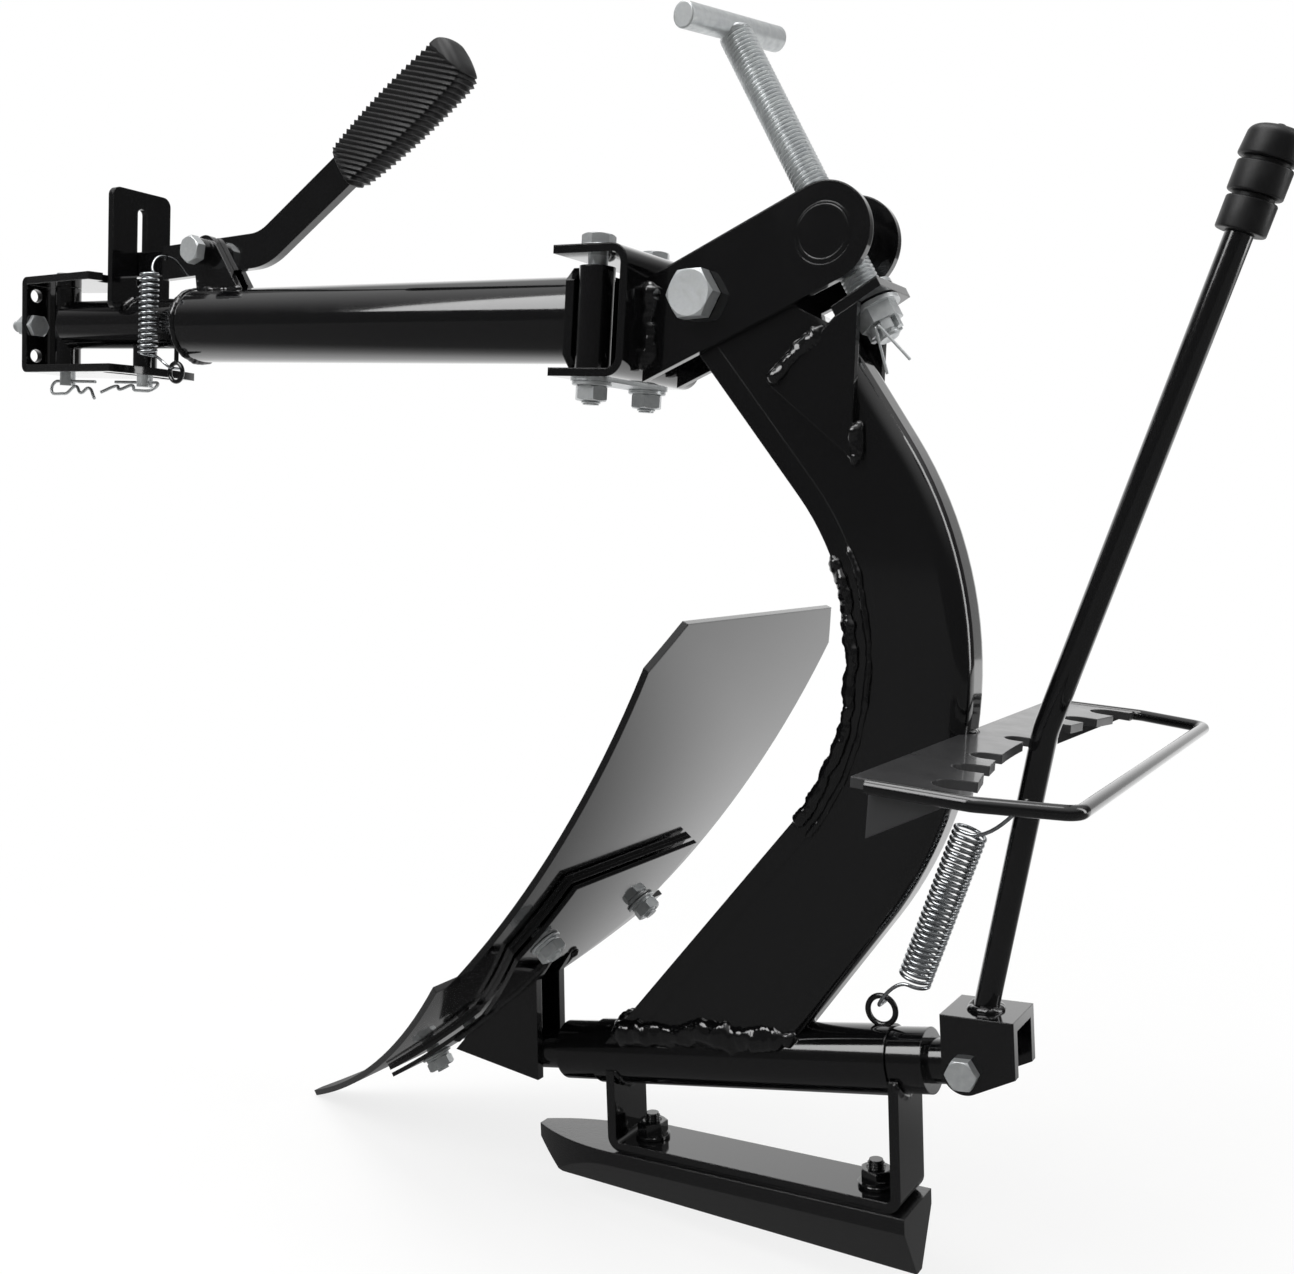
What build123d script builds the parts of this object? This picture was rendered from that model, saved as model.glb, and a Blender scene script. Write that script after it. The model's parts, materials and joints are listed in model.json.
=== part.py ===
"""Turn-over plough for a walking tractor, built as separate pieces in millimetres.

X runs rearward along the drawbar, Y across and Z up, with the origin at the middle of the
hitch's front wall. The photographed pose is the rest pose.
"""
import os
from math import asin, atan2, cos, degrees, hypot, pi, radians, sin, sqrt, tan

from build123d import *

# Fits and clearances
RUN = 0.05
SLIP = 0.25
HINGE_GAP = 0.3
LOOSE = 0.5

# Hitch yoke and swing pin
YOKE_PLATE = 6.0
YOKE_HALF_W = 24.0
YOKE_HALF_H = 38.0
YOKE_BEND = 5.5
YOKE_FLARE = radians(7.5)
SWING_X = 26.0
SWING_LIMIT = 16.0
SWING_STEP = 8.0
PIN_R = 6.0
PIN_HEAD_R = 9.0
PIN_HEAD_H = 5.0
PIN_TAIL = 8.5
UPPER_FAN_R = 82.0
LOWER_FAN_R = 112.0
GUIDE_PIN_X = 121.0
HITCH_HOLE_R = 5.25
HITCH_HOLE_Y = 15.0
HITCH_HOLE_Z = 24.0
CLIP_WIRE_R = 1.25

# Drawbar
TUBE_R = 27.0
TUBE_WALL = 3.5
TUBE_FRONT = 183.0
TUBE_REAR = 548.0
NECK_R = 19.0
NECK_WALL = 4.0
NECK_RISE = 2.0
NECK_REAR = 205.0
SLEEVE_R = 10.0
CAP_T = 5.0

# Guide plate and latch lever
GUIDE_X = 110.0
GUIDE_T = 5.0
GUIDE_HALF_W = 27.0
GUIDE_TOP = 103.0
GUIDE_FOOT = 10.0
LATCH_SLOT_TOP = 90.0
LATCH_SLOT_FOOT = 29.0
LATCH_T = 7.0
LATCH_X = 197.0
LATCH_Z = 53.0
LATCH_BAR_H = 25.0
LATCH_FRONT = (143.0, 47.5)
LATCH_BEND = (252.0, 54.0)
LATCH_BEND_R = 45.0
GRIP_RISE = radians(33.7)
GRIP_START = 92.0
GRIP_LEN = 121.0
GRIP_HALF_FRONT = 15.5
GRIP_HALF_SWELL = 20.5
GRIP_HALF_REAR = 18.0
GRIP_SWELL_AT = 0.62
GRIP_HALF_T = 12.5
GRIP_ROUND = 7.0
GRIP_CORNER_FRONT = 4.0
GRIP_CORNER_REAR = 10.0
TONGUE_X = 100.0
TONGUE_FOOT = YOKE_HALF_H + 0.8
TONGUE_H = 18.0
LEVER_BOLT_R = 6.0
LEVER_EAR_T = 5.0
LEVER_EAR_R = 12.5
LEVER_EAR_FOOT = 12.0
LEVER_EAR_AHEAD = 6.0
LEVER_EAR_BACK = 46.0
SPACER_R = 9.5
SPACER_LEN = 8.0
HOOK_HOLE = (148.0, 52.0)
HOOK_HOLE_R = 2.0

# Hinge bracket between drawbar and ears
CROSS_T = 6.0
CROSS_HALF_W = 40.0
HINGE_R = 11.0
HINGE_Y = 32.0
HINGE_TOP = 27.0
BRACKET_T = 5.0
BRACKET_HALF_W = 46.0
BRACKET_HALF_H = 38.5
BRACKET_FRONT = 542.0
BRACKET_REAR = 595.0
BRACKET_BEND = 12.0
M12_AF = 18.0
M12_HEAD = 7.5
HINGE_BOLT_TAIL = 16.0
HINGE_NUT_H = 9.0
LOCK_T = 2.0
LOCK_HALF_W = 13.0
WASHER_T = 2.5
HINGE_WASHER_R = 12.0

# Ears, pitch pivot and depth screw
EAR_IN = 18.2
EAR_T = 5.0
EAR_END_R = 28.0
EAR_FOOT_Z = -39.5
EAR_HEAD_Z = 21.5
PIVOT_X = 629.6
PIVOT_Z = 10.5
PITCH_BOLT_R = 9.0
PITCH_AF = 27.0
PITCH_HEAD = 11.5
TRUNNION_X = 706.0
TRUNNION_Z = 43.0
TRUNNION_R = 17.0
SCREW_R = 10.0
SCREW_LEAN = radians(32.0)
SCREW_CLEAR = 0.6
SEAT_DROP = 41.0
SCREW_RISE = 146.0
SPIGOT_R = 7.0
SEAT_PLATE_T = 6.0
SEAT_PLATE_HALF = 15.0
SEAT_GAP = 0.7
SEAT_WASHER_R = 15.0
SEAT_WASHER_T = 2.5
CASTLE_AF = 22.0
CASTLE_H = 15.0
TEE_R = 7.5
TEE_HALF = 44.0
TEE_TURN = radians(12.0)
TEE_BITE = 1.5
SPLIT_WIRE_R = 0.8
SPLIT_BEND = 1.3
SPLIT_LEG = 26.0
SPLIT_SPLAY = 6.5

# Beam: rear corners from the pivot, the front knee and the axle, gussets from the pivot
BEAM_HALF_W = 17.5
BEAM_WALL = 4.0
BEAM_HEAD_R = 22.0
BEAM_HEAD_SLOPE = radians(48.4)
BEAM_TAIL_SLOPE = radians(125.8)
BEAM_FRONT_RUN = 251.0
BEAM_TAIL_RUN = 330.0
BEAM_FRONT_R = 150.0
BEAM_REAR_TOP = (86.4, -18.5)
BEAM_REAR_KNEE = (78.2, -6.2)
BEAM_REAR_TAIL = (6.5, -7.3)
BEAM_REAR_R = 242.0
BEAM_ROUND = 11.0
SEAM_DEPTH = 12.0
GUSSET_T = 5.0
GUSSET_FRONT = (50.4, -51.5)
GUSSET_FOOT = (102.2, -89.7)
PITCH_BUSH_R = 15.0

# Axle line, its middle measured from the beam's front tail
AXLE_BACK = 109.25
AXLE_RISE = 20.75
AXLE_TILT = radians(13.5)
AXLE_R = 20.0
AXLE_BORE = 16.0
AXLE_FRONT = -118.0
AXLE_REAR = 84.0
SHAFT_R = 12.5
SHAFT_FRONT = -200.0
SHAFT_REAR = 143.0
COLLAR_R = 18.5
COLLAR_FRONT_L = 27.0
COLLAR_REAR_L = 21.0
BUSH_L = 25.0

# Index plate and guard, measured from the rear lever's pivot
PLATE_RISE = 181.35
PLATE_T = 5.0
PLATE_AHEAD = 19.4
PLATE_HALF_W = 163.0
STOP_MARGIN = 22.76
STOP_STEP = radians(10.0)
STOPS_A_SIDE = 3
EDGE_LAND = 7.91
NOTCH_SIDE_GAP = 0.6
TIP_GAP = 0.8
TAB_SET = 9.0
TAB_LEN = 38.0
TAB_DROP = 22.0
TAB_T = 4.0
GUARD_R = 3.5
GUARD_BACK = 78.6
GUARD_HALF_W = 150.0

# Rear lever
LEVER_S = 130.0
LEVER_TILT = radians(6.8)
LEVER_BEND = radians(8.9)
LEVER_BEND_S = 192.0
LEVER_BEND_R = 40.0
LEVER_R = 7.0
LEVER_RISE = 265.0
LEVER_ENGAGE = radians(-4.0)
KNOB_LEN = 52.0
KNOB_R = 15.5
SOCKET_IN = 12.9
SOCKET_T = 6.0
SOCKET_SLOPE = radians(7.0)
SOCKET_FRONT = -12.5
SOCKET_REAR = 28.5
SOCKET_TOP = 31.0
SOCKET_EAR_R = 12.5
CROSS_BOLT_R = 5.0

# Plough body on one round face: its seam from the axle, other places along the face from the seam
SEAM_AHEAD = 155.7
SEAM_RISE = 42.2
SEAM_LEAN = radians(-40.8)
FACE_R = 727.0
BOARD_T = 4.0
BOARD_RISE = 262.6
BOARD_HALF_TOP = 94.0
BOARD_HALF_W = 116.0
BOARD_HALF_FOOT = 106.0
BOARD_CHAMFER = 26.0
SHARE_RUN = 271.5
SHARE_HALF_W = 128.0
SHARE_NOSE = 4.0
SHARE_SEAM = 0.4
FROG_T = 8.0
FROG_RISE = 81.2
FROG_DROP = 177.6
FROG_HALF_TOP = 72.0
FROG_HALF_FOOT = 16.0
FROG_GUSSET_Y = 10.0
FROG_GUSSET_T = 6.0
FROG_GUSSET_REAR = (-156.0, -54.3)
FROG_GUSSET_HEAD = (-161.4, 11.7)
FROG_GUSSET_FOOT = (-225.0, -51.3)
BODY_BOLT_R = 5.0
BODY_BOLT_HEAD_R = 9.0
BODY_NUT_AF = 17.0
BODY_NUT_H = 8.0
BOARD_BOLT_Y = 56.0
BOARD_BOLT_RISE = 27.9
SHARE_BOLT_DROPS = (106.6, 147.2)

# Foot, measured from the axle's middle
FOOT_AHEAD = 97.0
FOOT_DROP = 82.6
FOOT_SLOPE = radians(6.06)
FOOT_LEN = 196.0
STRAP_T = 6.0
STRAP_HALF_W = 19.0
STRAP_BEND = 9.0
SKID_NOSE = -64.0
SKID_REAR = 199.0
SKID_HALF_W = 22.0
SKID_DEPTH = 40.0
SKID_SIDE = 9.0
SKID_KEEL = 4.0
SKID_CHIN = 23.0
SKID_CHIN_RISE = 15.0
SKID_BOW = (40.0, 15.0)
STUD_R = 5.0
STUD_FRONT = 22.0
STUD_REAR = 174.0

# Springs and their eyes, the lever's spring measured from the lever's pivot
WIRE_R = 1.1
LATCH_COIL_R = 6.2
LATCH_CURLS = 15
LATCH_COIL_TOP = (158.6, -27.5, 36.5)
LATCH_COIL_FOOT = (157.9, -27.5, -24.5)
LATCH_EYE = (174.0, -14.0, -36.0)
LATCH_EYE_R = 7.0
LEVER_COIL_R = 8.8
LEVER_CURLS = 28
LEVER_COIL_TOP = (-12.9, 129.35)
LEVER_COIL_FOOT = (-38.4, 37.35)
LEVER_EYE_S = 79.0
LEVER_EYE_R = 8.4
EYE_WIRE_R = 1.7
HOOK_RISE = 151.35

# Places worked out from these sizes, as pairs of X and Z
pivot = Vector(PIVOT_X, PIVOT_Z)
head_run = Vector(cos(BEAM_HEAD_SLOPE), -sin(BEAM_HEAD_SLOPE))
head_side = Vector(sin(BEAM_HEAD_SLOPE), cos(BEAM_HEAD_SLOPE))
tail_run = Vector(cos(BEAM_TAIL_SLOPE), -sin(BEAM_TAIL_SLOPE))
head_start = pivot - head_side * BEAM_HEAD_R
head_top = pivot + head_side * BEAM_HEAD_R
front_knee = head_start + head_run * BEAM_FRONT_RUN
front_tail = front_knee + tail_run * BEAM_TAIL_RUN
axle_mid = front_tail + Vector(AXLE_BACK, AXLE_RISE)
rear_top = pivot + Vector(*BEAM_REAR_TOP)
rear_knee = front_knee + Vector(*BEAM_REAR_KNEE)
rear_tail = axle_mid + Vector(*BEAM_REAR_TAIL)
lever_pivot = axle_mid + Vector(cos(AXLE_TILT), sin(AXLE_TILT)) * LEVER_S
plate_z = lever_pivot.Y + PLATE_RISE
plate_front = lever_pivot.X - PLATE_AHEAD
guard_x = lever_pivot.X + GUARD_BACK
seam = axle_mid + Vector(-SEAM_AHEAD, SEAM_RISE)
face_mid = seam - Vector(cos(SEAM_LEAN), sin(SEAM_LEAN)) * FACE_R
foot_start = axle_mid - Vector(FOOT_AHEAD, FOOT_DROP)



def side_plane(y):
    """Sketch plane across Y, with sketch x along X and sketch y along Z."""
    return Plane(origin=(0, y, 0), x_dir=(1, 0, 0), z_dir=(0, -1, 0))


def cross_plane(x):
    """Sketch plane across X, with sketch x along Y and sketch y along Z."""
    return Plane(origin=(x, 0, 0), x_dir=(0, 1, 0), z_dir=(1, 0, 0))


def level_plane(z):
    """Sketch plane across Z."""
    return Plane.XY.offset(z)


def axle_plane(s):
    """Sketch plane across the axle, s along it from its middle, sketch y upward."""
    along = Vector(cos(AXLE_TILT), 0, sin(AXLE_TILT))
    return Plane(origin=Vector(axle_mid.X, 0, axle_mid.Y) + along * s, x_dir=(0, 1, 0), z_dir=along)


def screw_plane(s):
    """Sketch plane across the depth screw, s down it from the trunnion's middle."""
    along = Vector(sin(SCREW_LEAN), 0, -cos(SCREW_LEAN))
    return Plane(origin=Vector(TRUNNION_X, 0, TRUNNION_Z) + along * s, x_dir=(0, 1, 0), z_dir=along)


def screw_point(s, rear):
    """Place on the screw's middle plane: s down the screw and rear across it."""
    x, z = TRUNNION_X + s * sin(SCREW_LEAN), TRUNNION_Z - s * cos(SCREW_LEAN)
    return (x + rear * cos(SCREW_LEAN), z + rear * sin(SCREW_LEAN))


def axle_point(s, up=0.0):
    """Place on the axle's middle plane: s along the axle and up across it."""
    x, z = axle_mid.X + s * cos(AXLE_TILT), axle_mid.Y + s * sin(AXLE_TILT)
    return (x - up * sin(AXLE_TILT), z + up * cos(AXLE_TILT))


def rod_direction(turn, tilt):
    """Direction of the rear lever's lower run at a turn about the axle and a tilt back."""
    lean = LEVER_TILT + tilt
    along = Vector(cos(AXLE_TILT), 0, sin(AXLE_TILT))
    up = Vector(-sin(AXLE_TILT), 0, cos(AXLE_TILT))
    rod = Vector(sin(lean), 0, cos(lean))
    raised = rod.dot(up)
    return along * rod.dot(along) + up * (raised * cos(turn)) + Vector(0, raised * sin(turn), 0)


def rod_on_plate(turn, tilt):
    """Where the rear lever's rod passes the index plate's middle."""
    rod = rod_direction(turn, tilt)
    x, z = axle_point(LEVER_S)
    reach = (plate_z - z) / rod.Z
    return (x + rod.X * reach, rod.Y * reach)


def plate_turn(y):
    """Turn about the axle at which the rod passes the index plate at y across."""
    lean = LEVER_TILT + AXLE_TILT
    ahead, raised = sin(lean) * sin(AXLE_TILT), cos(lean) * cos(AXLE_TILT)
    reach = cos(lean) * PLATE_RISE
    return atan2(y * raised, reach) + asin(y * ahead / hypot(reach, y * raised))


def rod_half_width(turn):
    """Half the room across Y that the slanting rod needs in the plate."""
    rod = rod_direction(turn, 0.0)
    slant = abs(rod.Y / rod.Z)
    return LEVER_R * sqrt(1 + slant**2) + PLATE_T / 2 * slant


def rod_half_depth(turn):
    """Half the room along X that the leaning rod needs in the plate."""
    rod = rod_direction(turn, 0.0)
    slant = abs(rod.X / rod.Z)
    return LEVER_R * sqrt(1 + slant**2) + PLATE_T / 2 * slant


def face_angle(run):
    """Angle on the round face at a run above the seam."""
    return SEAM_LEAN + run / FACE_R


def face_point(angle, depth=0.0):
    """Place on the plough's round face, or depth behind it."""
    return (face_mid.X + (FACE_R + depth) * cos(angle), face_mid.Y + (FACE_R + depth) * sin(angle))


def face_plane(angle):
    """Sketch plane laid on the round face at an angle, sketch y upward along it."""
    x, z = face_point(angle)
    return Plane(origin=(x, 0, z), x_dir=(0, 1, 0), z_dir=(cos(angle), 0, sin(angle)))


def biarc(start, heading, end, out):
    """Two tangent arcs, or one straight run, from a place and heading to another."""
    chord = end - start
    total = heading + out
    bend = 2 * (1 - heading.dot(out))
    if (chord.normalized() - heading).length < 1e-6 and bend < 1e-9:
        return [(start, None, end)]
    sway = chord.dot(total)
    reach = (-sway + sqrt(sway**2 + bend * chord.dot(chord))) / bend
    first = start + heading * reach
    second = end - out * reach
    middle = (first + second) / 2
    return [(start, heading, middle), (middle, (second - first).normalized(), end)]


def coil_nodes(top, foot, radius, curls, across):
    """Places and headings at each half turn of a helix from top to foot."""
    axis = (foot - top).normalized()
    beside = axis.cross(across)
    drop = (foot - top).length / curls
    slope = drop / (2 * pi * radius)
    nodes = []
    for step in range(2 * curls + 1):
        turn = pi * step
        spoke = across * cos(turn) + beside * sin(turn)
        run = beside * cos(turn) - across * sin(turn)
        nodes.append((top + axis * (drop * step / 2) + spoke * radius, (run + axis * slope).normalized()))
    return nodes


def wire_runs(nodes):
    """Runs of one unbroken wire through places and headings."""
    runs = []
    for (start, heading), (end, out) in zip(nodes, nodes[1:]):
        runs.extend(biarc(start, heading, end, out))
    return runs


def least_gap(wire, length, turn_length):
    """Least clear distance between turns of a wire, from points along it."""
    count = int(length / 1.5)
    points = [wire.position_at(i / count) for i in range(count + 1)]
    skip = int(0.5 * turn_length / (length / count))
    nearest = min(
        (points[i] - points[j]).length for i in range(len(points)) for j in range(i + skip, len(points))
    )
    return nearest - 2 * WIRE_R


# Hitch yoke: one bent plate with a notched upper fan and a slotted lower fan
guide_arc = CenterArc((SWING_X, 0, 0), GUIDE_PIN_X - SWING_X, -SWING_LIMIT - 0.6, 2 * SWING_LIMIT + 1.2)
with BuildPart() as hitch_yoke:
    for fan_r, fan_z in ((LOWER_FAN_R, -YOKE_HALF_H), (UPPER_FAN_R, YOKE_HALF_H - YOKE_PLATE)):
        fan_rear = SWING_X + fan_r
        fan_half = YOKE_HALF_W + (fan_rear - YOKE_PLATE) * tan(YOKE_FLARE)
        with BuildSketch(level_plane(fan_z)):
            with Locations((SWING_X, 0)):
                Circle(fan_r)
            Polygon(
                (0, -YOKE_HALF_W),
                (YOKE_PLATE, -YOKE_HALF_W),
                (fan_rear, -fan_half),
                (fan_rear, fan_half),
                (YOKE_PLATE, YOKE_HALF_W),
                (0, YOKE_HALF_W),
                align=None,
                mode=Mode.INTERSECT,
            )
        extrude(amount=YOKE_PLATE)
    with BuildSketch(cross_plane(0)):
        Rectangle(2 * YOKE_HALF_W, 2 * YOKE_HALF_H)
    extrude(amount=YOKE_PLATE)
    fillet(hitch_yoke.edges().filter_by(Axis.Y).group_by(Axis.X)[0], radius=YOKE_BEND)
    with BuildSketch(level_plane(-YOKE_HALF_H)):
        with Locations((SWING_X, 0)):
            Circle(PIN_R + RUN)
    extrude(amount=2 * YOKE_HALF_H, mode=Mode.SUBTRACT)
    with BuildSketch(level_plane(-YOKE_HALF_H)):
        SlotArc(guide_arc, 2 * (PIN_R + LOOSE))
    extrude(amount=YOKE_PLATE, mode=Mode.SUBTRACT)
    with BuildSketch(level_plane(YOKE_HALF_H - YOKE_PLATE)):
        with Locations((SWING_X, 0)):
            for step in range(-2, 3):
                with PolarLocations(UPPER_FAN_R - 4, 1, start_angle=step * SWING_STEP):
                    Rectangle(14, LATCH_T + 2 * LOOSE)
    extrude(amount=YOKE_PLATE, mode=Mode.SUBTRACT)
    with BuildSketch(cross_plane(0)):
        with GridLocations(2 * HITCH_HOLE_Y, 2 * HITCH_HOLE_Z, 2, 2):
            Circle(HITCH_HOLE_R)
        with GridLocations(2 * HITCH_HOLE_Y, 0, 2, 1):
            Circle(BODY_BOLT_R)
    extrude(amount=YOKE_PLATE, mode=Mode.SUBTRACT)

# Steady bolts through the hitch's front wall
with BuildPart() as steady_bolts:
    with BuildSketch(cross_plane(YOKE_PLATE)):
        with GridLocations(2 * HITCH_HOLE_Y, 0, 2, 1):
            RegularPolygon(8, 6, major_radius=False)
    extrude(amount=4.5)
    with BuildSketch(cross_plane(YOKE_PLATE)):
        with GridLocations(2 * HITCH_HOLE_Y, 0, 2, 1):
            Circle(BODY_BOLT_R)
    extrude(amount=-25)

with BuildPart() as steady_nuts:
    with BuildSketch(cross_plane(0)):
        with GridLocations(2 * HITCH_HOLE_Y, 0, 2, 1):
            RegularPolygon(8, 6, major_radius=False)
        with GridLocations(2 * HITCH_HOLE_Y, 0, 2, 1):
            Circle(BODY_BOLT_R, mode=Mode.SUBTRACT)
    extrude(amount=-9)

# Swing pin and guide pin with their clips
clip_z = -YOKE_HALF_H - 5.0
with BuildPart() as swing_pin:
    with BuildSketch(level_plane(-YOKE_HALF_H - PIN_TAIL)):
        with Locations((SWING_X, 0)):
            Circle(PIN_R)
    extrude(amount=2 * YOKE_HALF_H + PIN_TAIL)
    with BuildSketch(level_plane(YOKE_HALF_H)):
        with Locations((SWING_X, 0)):
            Circle(PIN_HEAD_R)
    extrude(amount=PIN_HEAD_H)
    with BuildSketch(cross_plane(SWING_X - PIN_HEAD_R)):
        with Locations((0, clip_z)):
            Circle(CLIP_WIRE_R + SLIP)
    extrude(amount=2 * PIN_HEAD_R, mode=Mode.SUBTRACT)

with BuildPart() as guide_pin:
    with BuildSketch(level_plane(-YOKE_HALF_H - PIN_TAIL)):
        with Locations((GUIDE_PIN_X, 0)):
            Circle(PIN_R)
    extrude(amount=YOKE_HALF_H + PIN_TAIL - NECK_R + NECK_RISE + NECK_WALL)
    with BuildSketch(cross_plane(GUIDE_PIN_X - PIN_HEAD_R)):
        with Locations((0, clip_z)):
            Circle(CLIP_WIRE_R + SLIP)
    extrude(amount=2 * PIN_HEAD_R, mode=Mode.SUBTRACT)

with BuildPart() as swing_pin_clip:
    with BuildLine(Plane((SWING_X, 0, clip_z))):
        Line((24, 0), (-11, 0))
        TangentArc((-11, 0), (-11, 9.5), tangent=(-1, 0))
        Spline((-11, 9.5), (0, PIN_R + CLIP_WIRE_R + SLIP), (9, 9.5), (24, 12), tangents=((1, 0), (1, 0.2)))
    with BuildSketch(Plane((SWING_X + 24, 0, clip_z), x_dir=(0, 1, 0), z_dir=(-1, 0, 0))):
        Circle(CLIP_WIRE_R)
    sweep()

with BuildPart() as guide_pin_clip:
    add(swing_pin_clip.part.moved(Location((GUIDE_PIN_X - SWING_X, 0, 0))))

# Drawbar: round tube, end cap, neck and swing sleeve
with BuildPart() as drawbar_tube:
    with BuildSketch(cross_plane(TUBE_FRONT)):
        Circle(TUBE_R)
        Circle(TUBE_R - TUBE_WALL, mode=Mode.SUBTRACT)
    extrude(amount=TUBE_REAR - TUBE_FRONT)

with BuildPart() as neck_sleeves:
    with BuildSketch(level_plane(-YOKE_HALF_H + YOKE_PLATE + HINGE_GAP)):
        with Locations((GUIDE_PIN_X, 0)):
            Circle(PIN_HEAD_R)
            Circle(PIN_R, mode=Mode.SUBTRACT)
    extrude(amount=YOKE_HALF_H - YOKE_PLATE - HINGE_GAP + NECK_RISE)
    with BuildSketch(cross_plane(GUIDE_PIN_X - PIN_HEAD_R)):
        with Locations((0, NECK_RISE)):
            Circle(NECK_R)
    extrude(amount=2 * PIN_HEAD_R, mode=Mode.SUBTRACT)
    with BuildSketch(level_plane(-YOKE_HALF_H + YOKE_PLATE + HINGE_GAP)):
        with Locations((SWING_X, 0)):
            Circle(SLEEVE_R)
            Circle(PIN_R + RUN, mode=Mode.SUBTRACT)
    extrude(amount=2 * (YOKE_HALF_H - YOKE_PLATE - HINGE_GAP))

with BuildPart() as drawbar_neck:
    with BuildSketch(cross_plane(SWING_X)):
        with Locations((0, NECK_RISE)):
            Circle(NECK_R)
            Circle(NECK_R - NECK_WALL, mode=Mode.SUBTRACT)
    extrude(amount=NECK_REAR - SWING_X)
    with BuildSketch(level_plane(-YOKE_HALF_H)):
        with Locations((SWING_X, 0)):
            Rectangle(2 * SLEEVE_R, 3 * NECK_R)
            Circle(SLEEVE_R)
    extrude(amount=2 * YOKE_HALF_H, mode=Mode.SUBTRACT)
    with BuildSketch(level_plane(-YOKE_HALF_H)):
        with Locations((GUIDE_PIN_X, 0)):
            Circle(PIN_R)
    extrude(amount=YOKE_HALF_H, mode=Mode.SUBTRACT)
    with BuildSketch(cross_plane(TUBE_FRONT - CAP_T)):
        Circle(TUBE_R)
        with Locations((0, NECK_RISE)):
            Circle(NECK_R - NECK_WALL, mode=Mode.SUBTRACT)
    extrude(amount=CAP_T)
    rims = drawbar_neck.edges().filter_by(GeomType.CIRCLE).group_by(SortBy.RADIUS)[-1]
    fillet(rims.sort_by(Axis.X)[0], 3.5)

# Slotted guide plate for the latch tongue
with BuildPart() as latch_guide_plate:
    with BuildSketch(cross_plane(GUIDE_X)) as guide_face:
        with Locations((0, (GUIDE_TOP + GUIDE_FOOT) / 2)):
            Rectangle(2 * GUIDE_HALF_W, GUIDE_TOP - GUIDE_FOOT)
        fillet(guide_face.vertices().group_by(Axis.Z)[-1], 7)
        with Locations((0, NECK_RISE)):
            Circle(NECK_R, mode=Mode.SUBTRACT)
        with Locations((0, (LATCH_SLOT_TOP + LATCH_SLOT_FOOT) / 2)):
            slot_len = LATCH_SLOT_TOP - LATCH_SLOT_FOOT
            SlotOverall(slot_len, LATCH_T + 2 * LOOSE, rotation=90, mode=Mode.SUBTRACT)
    extrude(amount=GUIDE_T)

# Latch lever: bent flat bar with a tongue, its bracket, bolt and grip
grip_along = Vector(cos(GRIP_RISE), 0, sin(GRIP_RISE))
grip_origin = Vector(LATCH_BEND[0], 0, LATCH_BEND[1]) + grip_along * GRIP_START
grip_tang = grip_origin + grip_along * (0.7 * GRIP_LEN)
with BuildPart() as latch_lever_bar:
    with BuildSketch(side_plane(0)):
        with BuildLine():
            FilletPolyline(LATCH_FRONT, LATCH_BEND, (grip_tang.X, grip_tang.Z), radius=LATCH_BEND_R)
        trace(line_width=LATCH_BAR_H)
        with Locations(((TONGUE_X + LATCH_FRONT[0]) / 2, TONGUE_FOOT + TONGUE_H / 2)):
            Rectangle(LATCH_FRONT[0] - TONGUE_X + 1, TONGUE_H)
        with Locations((LATCH_X, LATCH_Z)):
            Circle(LEVER_BOLT_R + RUN, mode=Mode.SUBTRACT)
        with Locations(HOOK_HOLE):
            Circle(HOOK_HOLE_R, mode=Mode.SUBTRACT)
    extrude(amount=LATCH_T / 2, both=True)

grip_swell = GRIP_SWELL_AT * GRIP_LEN
with BuildPart() as latch_lever_grip:
    with BuildSketch(Plane(grip_origin, x_dir=grip_along, z_dir=(0, -1, 0))) as grip_face:
        with BuildLine():
            Spline((0, GRIP_HALF_FRONT), (grip_swell, GRIP_HALF_SWELL), (GRIP_LEN, GRIP_HALF_REAR))
            Line((GRIP_LEN, GRIP_HALF_REAR), (GRIP_LEN, -GRIP_HALF_REAR))
            Spline((GRIP_LEN, -GRIP_HALF_REAR), (grip_swell, -GRIP_HALF_SWELL), (0, -GRIP_HALF_FRONT))
            Line((0, -GRIP_HALF_FRONT), (0, GRIP_HALF_FRONT))
        make_face()
        grip_corners = grip_face.vertices().sort_by(Axis(grip_origin, grip_along))
        fillet(grip_corners[:2], GRIP_CORNER_FRONT)
        grip_corners = grip_face.vertices().sort_by(Axis(grip_origin, grip_along))
        fillet(grip_corners[-2:], GRIP_CORNER_REAR)
    extrude(amount=GRIP_HALF_T, both=True)
    fillet(latch_lever_grip.edges().filter_by(Axis.Y, reverse=True), GRIP_ROUND)
    add(latch_lever_bar.part, mode=Mode.SUBTRACT)

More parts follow.
